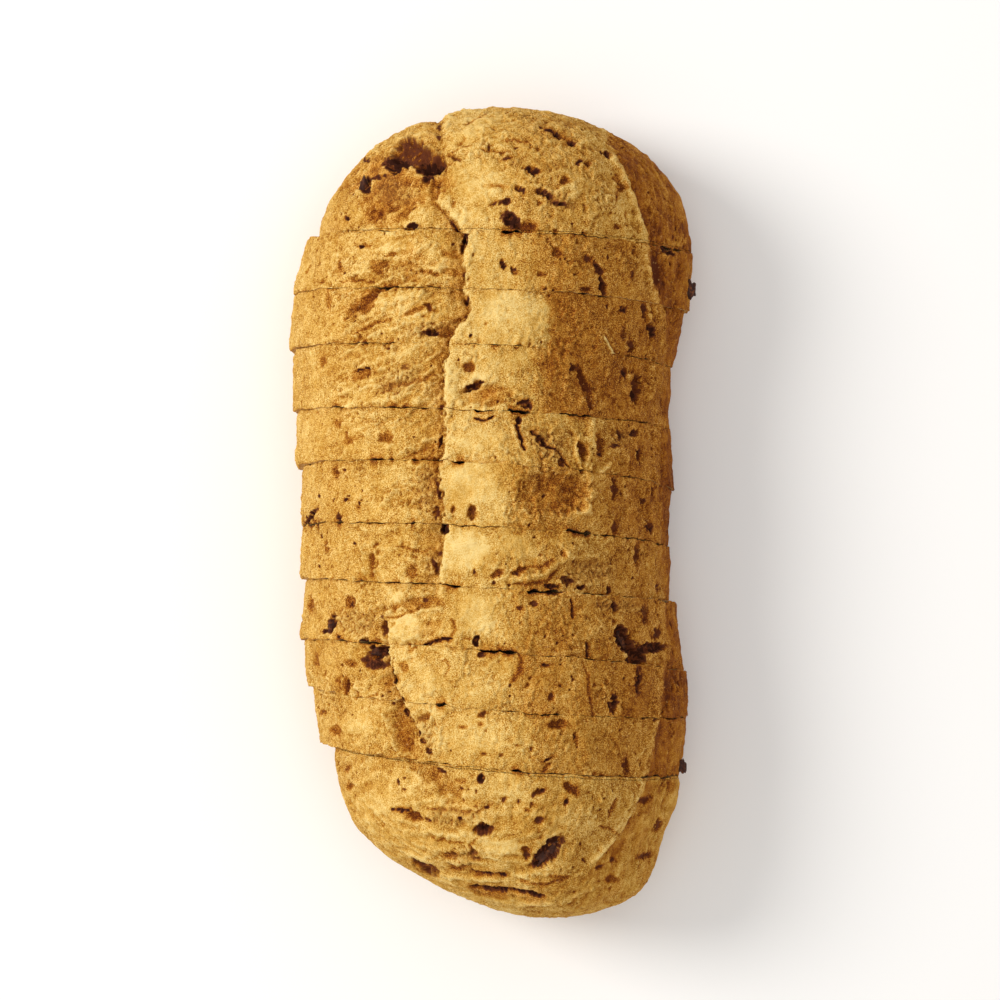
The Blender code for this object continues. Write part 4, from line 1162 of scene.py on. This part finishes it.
        # Painted light and shade: places proud of their surroundings are coloured paler, sunk
        # places darker
        proud = self.relief - blurred(blurred(self.relief, 2), 3)
        self.masks["raised"] = np.clip(proud / 0.45, -1.0, 1.0)
        self.relief *= smooth_step(self.height / 9.0)
        return self.points + self.normal * self.relief[..., None]


# Meshes

def read_points(piece):
    places = np.zeros(3 * len(piece.data.vertices), np.float32)
    piece.data.vertices.foreach_get("co", places)
    return places.reshape(-1, 3)


def place_points(piece, points):
    piece.data.vertices.foreach_set("co", points.astype(np.float32).ravel())


def pick(piece, kind, chosen):
    """Select, in edit mode, the faces or the edges that the test chooses."""
    shape = bmesh.from_edit_mesh(piece.data)
    shape.select_mode = {kind}
    for part in shape.faces if kind == "FACE" else shape.edges:
        part.select_set(chosen(part))
    shape.select_flush_mode()
    bmesh.update_edit_mesh(piece.data)


def runs_lengthwise(edge):
    return abs(edge.verts[0].co.y - edge.verts[1].co.y) > 0.5


def drum(name, sides, crust_rings, face_rings_at):
    """A closed drum along Y to be drawn into a bread piece: rings round its side, more
    rings inset in its two ends, and a middle point in each."""
    bpy.ops.object.select_all(action="DESELECT")
    bpy.ops.mesh.primitive_cylinder_add(
        vertices=sides, radius=1.0, depth=2.0, rotation=(0.5 * math.pi, 0.0, 0.0)
    )
    piece = bpy.context.object
    piece.name = f"{name}_bread"
    piece.data.name = piece.name
    bpy.ops.object.transform_apply(location=True, rotation=True, scale=True)
    bpy.ops.object.mode_set(mode="EDIT")
    bpy.ops.mesh.select_mode(type="EDGE")
    pick(piece, "EDGE", runs_lengthwise)
    bpy.ops.mesh.subdivide_edgering(
        number_cuts=crust_rings - 2, interpolation="LINEAR", smoothness=0.0
    )
    bpy.ops.mesh.select_mode(type="FACE")
    for side, rings in zip((1.0, -1.0), face_rings_at):
        for ring in range(rings):
            pick(piece, "FACE", lambda face: len(face.verts) > 4 and face.normal.y * side > 0.5)
            bpy.ops.mesh.inset(thickness=1.0 / (rings + 1), depth=0.0)
    pick(piece, "FACE", lambda face: len(face.verts) > 4)
    bpy.ops.mesh.poke()
    bpy.ops.object.mode_set(mode="OBJECT")
    return piece


def drum_order(piece, sides, crust_rings, face_rings_at):
    """Which ring and which place round it each point of a drum has, counted from the far
    end."""
    x, y, z = read_points(piece).T
    outward = np.hypot(x, z)
    far_inset, near_inset = (
        np.rint((1.0 - outward) * (rings + 1)) for rings in face_rings_at
    )
    first = 1 + face_rings_at[0]
    ring = first + np.rint((1.0 - y) * 0.5 * (crust_rings - 1))
    ring = np.where(y > 0.999, first - far_inset, ring)
    ring = np.where(y < -0.999, first + crust_rings - 1 + near_inset, ring)
    turn = np.arctan2(-x, -z) / (2.0 * math.pi)
    around = np.rint((turn % 1.0) * sides).astype(int) % sides
    return ring.astype(int), around


def face_rings(edge, cut, side, seed):
    """Rings of a cut face, from its rim to near its middle, with the crumb's pores."""
    centre = np.array((edge[:, 0].mean(), 0.0, CORE_HEIGHT))
    strays = edge[:, 1] - cut_place(cut, edge[:, 0], edge[:, 2])
    rings = []
    for share in np.linspace(0.0, 1.0, FACE_RINGS + 2)[1:-1] ** 1.8:
        ring = mix(edge, centre, share)
        plane = cut_place(cut, ring[:, 0], ring[:, 2])
        spots = np.stack((ring[:, 0], np.full(len(ring), 9.0 * seed), ring[:, 2]), -1)
        pores = np.clip(np.abs(layered_noise(spots, 3.0, 2, seed)) - 0.15, 0.0, 0.8)
        inset = side * (LEAST_HALF_GAP + 0.8 * pores)
        ring[:, 1] = plane + mix(inset, strays, (1.0 - share) ** 6)
        rings.append(ring)
    centre[1] = cut_place(cut, centre[0], centre[2]) + side * LEAST_HALF_GAP
    return np.array(rings), centre


def gape(shaped, crust, cut_number, side, edge_index):
    """Draw a piece's crust back from its cut wherever the cut gapes."""
    edge = shaped[edge_index]
    column, _ = photo_pixels(edge)
    gap = half_gap(cut_number, column, edge[:, 2], 2 * cut_number + (side > 0.0))
    middle = len(shaped) // 2
    this_end = np.zeros(len(shaped))
    this_end[slice(None, middle) if edge_index == 0 else slice(middle, None)] = 1.0
    fade = np.exp(-crust.from_cut / 1.2) * this_end[:, None]
    shaped[..., 1] += (side * gap + edge_wave(edge)) * fade
    gaping = rise(gap, LEAST_HALF_GAP, 0.3)
    # Painted shade on the crust beside a gaping cut
    crust.mark("browning_and_shade", 0.75 * gaping * fade)
    return gaping


def close_ends(shaped, crust, cuts):
    """For the far and the near end: the rings of its cut face, the point in its middle
    and how far its cut gapes. An end without a cut has the point alone."""
    sides = shaped.shape[1]
    ends = []
    for edge_index, cut_number, side in ((0, cuts[0], -1.0), (-1, cuts[1], 1.0)):
        if cut_number is None:
            ends.append((np.zeros((0, sides, 3)), shaped[edge_index].mean(0), np.zeros(sides)))
            continue
        gaping = gape(shaped, crust, cut_number, side, edge_index)
        rings, pole = face_rings(shaped[edge_index], CUTS[cut_number], side, cut_number)
        ends.append((rings if edge_index else rings[::-1], pole, gaping))
    return ends


def whole_masks(crust, cuts, ends, shape, first, last):
    """The crust's masks on the whole piece, and the crumb's on its cut faces. The crust
    has the rings from first up to last."""
    masks = {label: np.zeros(shape) for label in crust.masks}
    for label, values in crust.masks.items():
        masks[label][first:last] = values
    masks["crumb"] = np.ones(shape)
    masks["crumb"][first:last] = 0.0
    for cut_number, ring in zip(cuts, (0, -1)):
        if cut_number is None:
            masks["crumb"][ring] = 0.0
    for step, darkening in enumerate(RIM_TOASTING, 1):
        for (_, _, gaping), ring in zip(ends, (first - step, last - 1 + step)):
            if 0 < ring < shape[0] - 1:
                # Painted shadow inside a gaping cut, on its face's first rings
                masks["char_and_shade"][ring] = 0.9 * gaping
                masks["browning_and_shade"][ring] = darkening
                masks["crumb"][ring] = 1.0 - darkening
    return masks


def store_masks(piece, masks, ring, around):
    for label, values in masks.items():
        layer = piece.data.attributes.new(label, "FLOAT", "POINT")
        layer.data.foreach_set("value", values[ring, around].astype(np.float32))


def sharpen_rims(piece, ring, rims):
    """Let crust and crumb shade apart at the rims of the cut faces."""
    ends = np.zeros(2 * len(piece.data.edges), np.int32)
    piece.data.edges.foreach_get("vertices", ends)
    rings = ring[ends.reshape(-1, 2)]
    sharp = (rings[:, 0] == rings[:, 1]) & np.isin(rings[:, 0], rims)
    layer = piece.data.attributes.new("sharp_edge", "BOOLEAN", "EDGE")
    layer.data.foreach_set("value", sharp)


def dress_bread(name, form, cuts, material):
    """A bread piece: its crust rings and, at each end that is cut, the cut face. Cuts
    are the numbers of the cuts at its far and near end, None where there is none."""
    points, from_cut = form
    crust = Crust(name, points, from_cut)
    shaped = crust.bake()
    shaped[..., 2] = np.maximum(shaped[..., 2], 0.0)
    hold = 1.0 if None not in cuts else np.exp(-crust.from_cut / HEEL_HOLD)
    shaped[..., 1] = mix(shaped[..., 1], points[..., 1], hold)
    ends = close_ends(shaped, crust, cuts)
    sides = points.shape[1]
    far_pole, near_pole = (np.broadcast_to(pole, (1, sides, 3)) for _, pole, _ in ends)
    grid = np.concatenate((far_pole, ends[0][0], shaped, ends[1][0], near_pole))
    first = 1 + len(ends[0][0])
    last = first + len(shaped)
    masks = whole_masks(crust, cuts, ends, grid.shape[:2], first, last)

    counts = sides, len(shaped), [len(rings) for rings, _, _ in ends]
    piece = drum(name, *counts)
    ring, around = drum_order(piece, *counts)
    place_points(piece, (grid[ring, around] - BOX_MIDDLE) * MM)
    store_masks(piece, masks, ring, around)
    piece.data.materials.append(material)
    bpy.ops.object.shade_smooth()
    rims = [rim for rim, cut in zip((first, last - 1), cuts) if cut is not None]
    sharpen_rims(piece, ring, rims)
    piece.data.update()
    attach(piece, "root")
    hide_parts(name)
    return piece


def vegetable(place, normal, length, width, turn, seed):
    """One baked vegetable piece: a flat lump with an uneven rim, lying on the crust."""
    bpy.ops.object.select_all(action="DESELECT")
    bpy.ops.mesh.primitive_ico_sphere_add(subdivisions=5, radius=0.5)
    lump = bpy.context.object
    lump.name = "lump"
    points = read_points(lump) * 2.0
    flat = points * np.array((1.0, 1.0, 0.4))
    swell = 1.0 + 0.45 * noise(flat + 11.0 * seed, 0.7, seed)
    swell += 0.2 * noise(flat + 5.0 * seed, 0.3, seed + 1)
    points = points * swell[:, None] * 0.5
    thickness = LUMP_FLATNESS * min(length, width)
    points *= np.array((length, width, thickness)) * MM
    place_points(lump, points)
    lean = Vector((0.0, 0.0, 1.0)).rotation_difference(normal).to_matrix()
    turned = Matrix.Rotation(-math.radians(turn), 3, "Z")
    lump.rotation_euler = (lean @ turned).to_euler()
    lump.location = place
    bpy.ops.object.transform_apply(location=True, rotation=True, scale=True)
    bpy.ops.object.shade_smooth()
    return lump


def pixel_ray(column, row):
    """Camera point and the way from it through a pixel, in metres."""
    eye = np.array((*CAMERA_SPOT, CAMERA_HEIGHT))
    ground = np.array((
        CAMERA_SPOT[0] + (column - SPOT_PIXEL[0]) * CAMERA_HEIGHT / PIXELS_PER_SLOPE,
        CAMERA_SPOT[1] + (SPOT_PIXEL[1] - row) * CAMERA_HEIGHT / PIXELS_PER_SLOPE,
        0.0,
    ))
    start = Vector((eye - BOX_MIDDLE) * MM)
    return start, (Vector((ground - BOX_MIDDLE) * MM) - start).normalized()


def top_vegetables(pieces):
    """The lumps in the upper crust, laid where their pixels meet it."""
    depsgraph = bpy.context.evaluated_depsgraph_get()
    trees = {name: BVHTree.FromObject(piece, depsgraph) for name, piece in pieces.items()}
    lumps = []
    for seed, (name, column, row, length, width, turn, proud) in enumerate(VEGETABLES):
        point, normal, _, _ = trees[name].ray_cast(*pixel_ray(column, row))
        normal = (normal + Vector((0.0, 0.0, 1.5))).normalized()
        lift = LUMP_FLATNESS * min(length, width) * (proud - 0.5) * MM + LUMP_LIFT
        lumps.append(vegetable(point + normal * lift, normal, length, width, turn, seed))
    return lumps


def flank_vegetables():
    lumps = []
    normal = Vector(FLANK_NORMAL).normalized()
    for seed, (place, length, width) in enumerate(FLANK_VEGETABLES, 50):
        spot = Vector((np.array(place) - BOX_MIDDLE) * MM)
        lumps.append(vegetable(spot, normal, width, length, 0.0, seed))
    return lumps


def dress_vegetables(pieces, material):
    lumps = top_vegetables(pieces) + flank_vegetables()
    bpy.ops.object.select_all(action="DESELECT")
    for lump in lumps:
        lump.select_set(True)
    bpy.context.view_layer.objects.active = lumps[0]
    bpy.ops.object.join()
    joined = bpy.context.object
    joined.name = "vegetable_pieces"
    joined.data.materials.clear()
    joined.data.materials.append(material)
    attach(joined, "root")


# Materials

def srgb(red, green, blue):
    def linear(value):
        value /= 255.0
        return value / 12.92 if value <= 0.04045 else ((value + 0.055) / 1.055) ** 2.4
    return (linear(red), linear(green), linear(blue), 1.0)


# Crust colours from the darkest, where toasting and painted shade are strongest, to the palest
CRUST_TONES = (
    (0.0, srgb(86, 42, 20)),
    (0.14, srgb(120, 65, 21)),
    (0.28, srgb(151, 92, 26)),
    (0.42, srgb(181, 127, 43)),
    (0.56, srgb(206, 157, 71)),
    (0.70, srgb(226, 183, 98)),
    (0.86, srgb(240, 210, 138)),
)
# WARMER also warms the painted shade that the browning mask holds
WARMER = (1.0, 0.74, 0.55, 1.0)  # what the browned crust's colour is multiplied by
# EMBER_AND_SHADE_COLOUR and CHAR_AND_SHADE_COLOUR colour charred crust and also paint the shade
# inside cracks, pores, pinholes and gaping cuts
EMBER_AND_SHADE_COLOUR = srgb(100, 52, 30)
CHAR_AND_SHADE_COLOUR = srgb(56, 27, 17)
OLIVE = srgb(184, 140, 74)
FLECK = srgb(232, 190, 118)
CRUMB_TONES = ((0.35, srgb(222, 176, 102)), (0.6, srgb(247, 219, 156)))
VEGETABLE_TONES = (
    (0.38, srgb(50, 26, 18)), (0.56, srgb(74, 38, 22)), (0.68, srgb(122, 66, 28)),
)
FLOOR_WHITE = (0.93, 0.93, 0.93, 1.0)


class Finish:
    """A material's node tree, built a node at a time."""

    def __init__(self, name, roughness, specular):
        self.material = bpy.data.materials.new(name)
        self.material.use_nodes = True
        self.tree = self.material.node_tree
        self.shader = self.tree.nodes["Principled BSDF"]
        self.shader.inputs["Roughness"].default_value = roughness
        self.shader.inputs["Specular IOR Level"].default_value = specular
        self.coords = self.tree.nodes.new("ShaderNodeTexCoord").outputs["Object"]

    def link(self, source, target):
        self.tree.links.new(source, target)

    def put(self, values, sockets):
        """Give each socket its value, as a link where the value is another's output."""
        for value, socket in zip(values, sockets):
            if isinstance(value, (int, float, tuple)):
                socket.default_value = value
            else:
                self.link(value, socket)

    def noise(self, spacing, detail=3.0, rough=0.55):
        node = self.tree.nodes.new("ShaderNodeTexNoise")
        node.inputs["Scale"].default_value = 1.0 / (spacing * MM)
        node.inputs["Detail"].default_value = detail
        node.inputs["Roughness"].default_value = rough
        self.link(self.coords, node.inputs["Vector"])
        return node.outputs["Fac"]

    def mask(self, label):
        node = self.tree.nodes.new("ShaderNodeAttribute")
        node.attribute_name = label
        return node.outputs["Fac"]

    def maths(self, kind, first, second, clamp=False):
        node = self.tree.nodes.new("ShaderNodeMath")
        node.operation = kind
        node.use_clamp = clamp
        self.put((first, second), node.inputs)
        return node.outputs[0]

    def centred(self, value):
        return self.maths("SUBTRACT", value, 0.5)

    def times(self, value, weight):
        return self.maths("MULTIPLY", value, weight)

    def ramp(self, value, stops):
        node = self.tree.nodes.new("ShaderNodeValToRGB")
        elements = node.color_ramp.elements
        while len(elements) < len(stops):
            elements.new(0.5)
        for element, (place, colour) in zip(elements, stops):
            element.position = place
            element.color = colour
        self.link(value, node.inputs["Fac"])
        return node.outputs["Color"]

    def between(self, value, low, high):
        """0 below low, 1 above high and smooth between."""
        node = self.tree.nodes.new("ShaderNodeMapRange")
        node.interpolation_type = "SMOOTHSTEP"
        node.inputs["From Min"].default_value = low
        node.inputs["From Max"].default_value = high
        self.link(value, node.inputs["Value"])
        return node.outputs["Result"]

    def blend(self, share, first, second, kind="MIX"):
        node = self.tree.nodes.new("ShaderNodeMix")
        node.data_type = "RGBA"
        node.blend_type = kind
        self.put((share, first, second), (node.inputs[0], node.inputs[6], node.inputs[7]))
        return node.outputs[2]

    def colour(self, value):
        self.link(value, self.shader.inputs["Base Color"])

    def bumps(self, height, distance, strength):
        """Grain too fine for the mesh: its height pattern and its depth in millimetres."""
        node = self.tree.nodes.new("ShaderNodeBump")
        node.inputs["Strength"].default_value = strength
        node.inputs["Distance"].default_value = distance * MM
        self.link(height, node.inputs["Height"])
        self.link(node.outputs["Normal"], self.shader.inputs["Normal"])


def crust_tone(finish, mottling, specks):
    """How pale each place of the crust is, 0 to 1."""
    grain = finish.maths("ADD", finish.times(finish.centred(mottling), 0.34),
                         finish.times(finish.centred(specks), 1.9))
    lively = finish.maths("SUBTRACT", finish.maths("ADD", finish.noise(7.0, 1.0), 0.5),
                          finish.times(finish.mask("calm"), 0.5))
    tone = finish.times(grain, lively)
    # pale holds painted light on ridges and banks besides paler crust; raised paints proud places
    # paler and sunk places darker; the browning mask holds painted shade besides browning
    for source, weight in ((finish.centred(finish.noise(9.0, 3.0, 0.6)), 0.5),
                           (finish.centred(finish.noise(4.0, 2.0, 0.5)), 0.25),
                           (finish.mask("pale"), 0.3), (finish.mask("raised"), 0.15),
                           (finish.mask("browning_and_shade"), -0.56)):
        tone = finish.maths("ADD", tone, finish.times(source, weight))
    return finish.maths("ADD", tone, 0.56, clamp=True)


def golden_crust(finish, tone):
    """The crust's colour before the char and the painted dark shade go on: tones, greyer and paler
    flecks, and warmer where browned or painted with shade.
    """
    golden = finish.ramp(tone, CRUST_TONES)
    greyer = finish.times(finish.between(finish.noise(1.3), 0.52, 0.62), 0.12)
    golden = finish.blend(greyer, golden, OLIVE, "DARKEN")
    golden = finish.blend(finish.times(finish.mask("torn"), 0.2), golden, OLIVE)
    flecks = finish.times(finish.between(finish.noise(0.9, 2.0), 0.64, 0.72), 0.35)
    golden = finish.blend(flecks, golden, FLECK)
    warmth = finish.times(finish.mask("browning_and_shade"), 1.25)
    warmth = finish.maths("MINIMUM", finish.maths("SUBTRACT", warmth, 0.1, clamp=True), 0.5)
    return finish.blend(warmth, golden, WARMER, "MULTIPLY")


def crust_finish():
    finish = Finish("crust", 0.8, 0.05)
    mottling = finish.noise(2.0, 5.0, 0.7)
    specks = finish.noise(0.3, 2.0, 0.7)
    golden = golden_crust(finish, crust_tone(finish, mottling, specks))
    crumbly = finish.maths("ADD", finish.times(finish.centred(specks), 2.0), 1.0)
    # The char mask holds charred crust and painted shade in cracks, pores, pinholes and gaping
    # cuts
    char_and_shade_share = finish.times(finish.mask("char_and_shade"), crumbly)
    ember_and_shade_blend = finish.blend(finish.between(char_and_shade_share, 0.12, 0.42), golden, EMBER_AND_SHADE_COLOUR)
    char_and_shade = finish.blend(finish.between(char_and_shade_share, 0.45, 0.75), ember_and_shade_blend, CHAR_AND_SHADE_COLOUR)
    clear_of_char_and_shade = finish.maths("SUBTRACT", 1.0, finish.mask("char_and_shade"))
    bare = finish.times(finish.mask("crumb"), clear_of_char_and_shade)
    finish.colour(finish.blend(bare, char_and_shade, finish.ramp(mottling, CRUMB_TONES)))
    finish.bumps(finish.noise(1.2, 5.0, 0.75), 0.42, 0.9)
    return finish.material


def vegetable_finish():
    finish = Finish("roasted_vegetable", 0.6, 0.2)
    finish.colour(finish.ramp(finish.noise(1.2, 4.0, 0.65), VEGETABLE_TONES))
    finish.bumps(finish.noise(0.7, 3.0, 0.6), 0.3, 0.7)
    return finish.material


def floor_finish():
    finish = Finish("pale_floor", 0.8, 0.2)
    finish.shader.inputs["Base Color"].default_value = FLOOR_WHITE
    return finish.material


# The scene round the loaf

# Each lamp: name, place, target, size, power and colour
LAMPS = (
    ("key", (-1.0, 0.3, 1.0), (0.0, 0.0, 0.03), 0.6, 13.0, (1.0, 0.97, 0.92)),
    ("top", (0.1, -0.1, 1.6), (0.0, 0.0, 0.0), 1.2, 4.0, (1.0, 0.98, 0.96)),
)
FLOOR_SIZE = 6.0
FLOOR_HEIGHT = -0.0002
STUDIO_COLOUR = (1.0, 0.98, 0.95, 1.0)
STUDIO_STRENGTH = 0.62
SENSOR_WIDTH = 36.0


def add_floor():
    bpy.ops.object.select_all(action="DESELECT")
    bpy.ops.mesh.primitive_plane_add(size=FLOOR_SIZE, location=(0.0, 0.0, FLOOR_HEIGHT))
    floor = bpy.context.object
    floor.name = "floor"
    floor.data.materials.append(floor_finish())


def add_lamp(name, place, target, size, power, colour):
    lamp = bpy.data.lights.new(name, "AREA")
    lamp.shape = "DISK"
    lamp.size = size
    lamp.energy = power
    lamp.color = colour
    holder = bpy.data.objects.new(name, lamp)
    bpy.context.scene.collection.objects.link(holder)
    holder.location = place
    way = Vector(target) - Vector(place)
    holder.rotation_mode = "QUATERNION"
    holder.rotation_quaternion = way.to_track_quat("-Z", "Y")


def add_light():
    world = bpy.data.worlds.new("studio")
    world.use_nodes = True
    background = world.node_tree.nodes["Background"]
    background.inputs["Color"].default_value = STUDIO_COLOUR
    background.inputs["Strength"].default_value = STUDIO_STRENGTH
    bpy.context.scene.world = world
    for lamp in LAMPS:
        add_lamp(*lamp)


def add_camera():
    camera = bpy.data.cameras.new("camera")
    camera.sensor_width = SENSOR_WIDTH
    camera.lens = SENSOR_WIDTH * PIXELS_PER_SLOPE / PHOTO_SIZE
    camera.clip_start = 0.05
    camera.clip_end = 10.0
    holder = bpy.data.objects.new("camera", camera)
    bpy.context.scene.collection.objects.link(holder)
    start, way = pixel_ray(0.5 * PHOTO_SIZE, 0.5 * PHOTO_SIZE)
    right = way.cross(Vector((0.0, 1.0, 0.0))).normalized()
    up = right.cross(way)
    holder.location = start
    holder.rotation_euler = Matrix((right, up, -way)).transposed().to_euler()
    bpy.context.scene.camera = holder


def build():
    material = crust_finish()
    last = len(CUTS) - 1
    rings, from_cut = heel_form(FAR_HEEL, CUTS[0])
    forms = {"far_heel": ((rings[::-1], from_cut[::-1]), (None, 0))}
    for number in range(1, last + 1):
        forms[f"slice_{number}"] = (slice_form(number), (number - 1, number))
    forms["near_heel"] = (heel_form(NEAR_HEEL, CUTS[last]), (last, None))
    pieces = {}
    for name, (form, cuts) in forms.items():
        pieces[name] = dress_bread(name, form, cuts, material)
    dress_vegetables(pieces, vegetable_finish())
    add_floor()
    add_light()
    add_camera()
    bpy.context.scene.view_settings.view_transform = "Standard"


build()
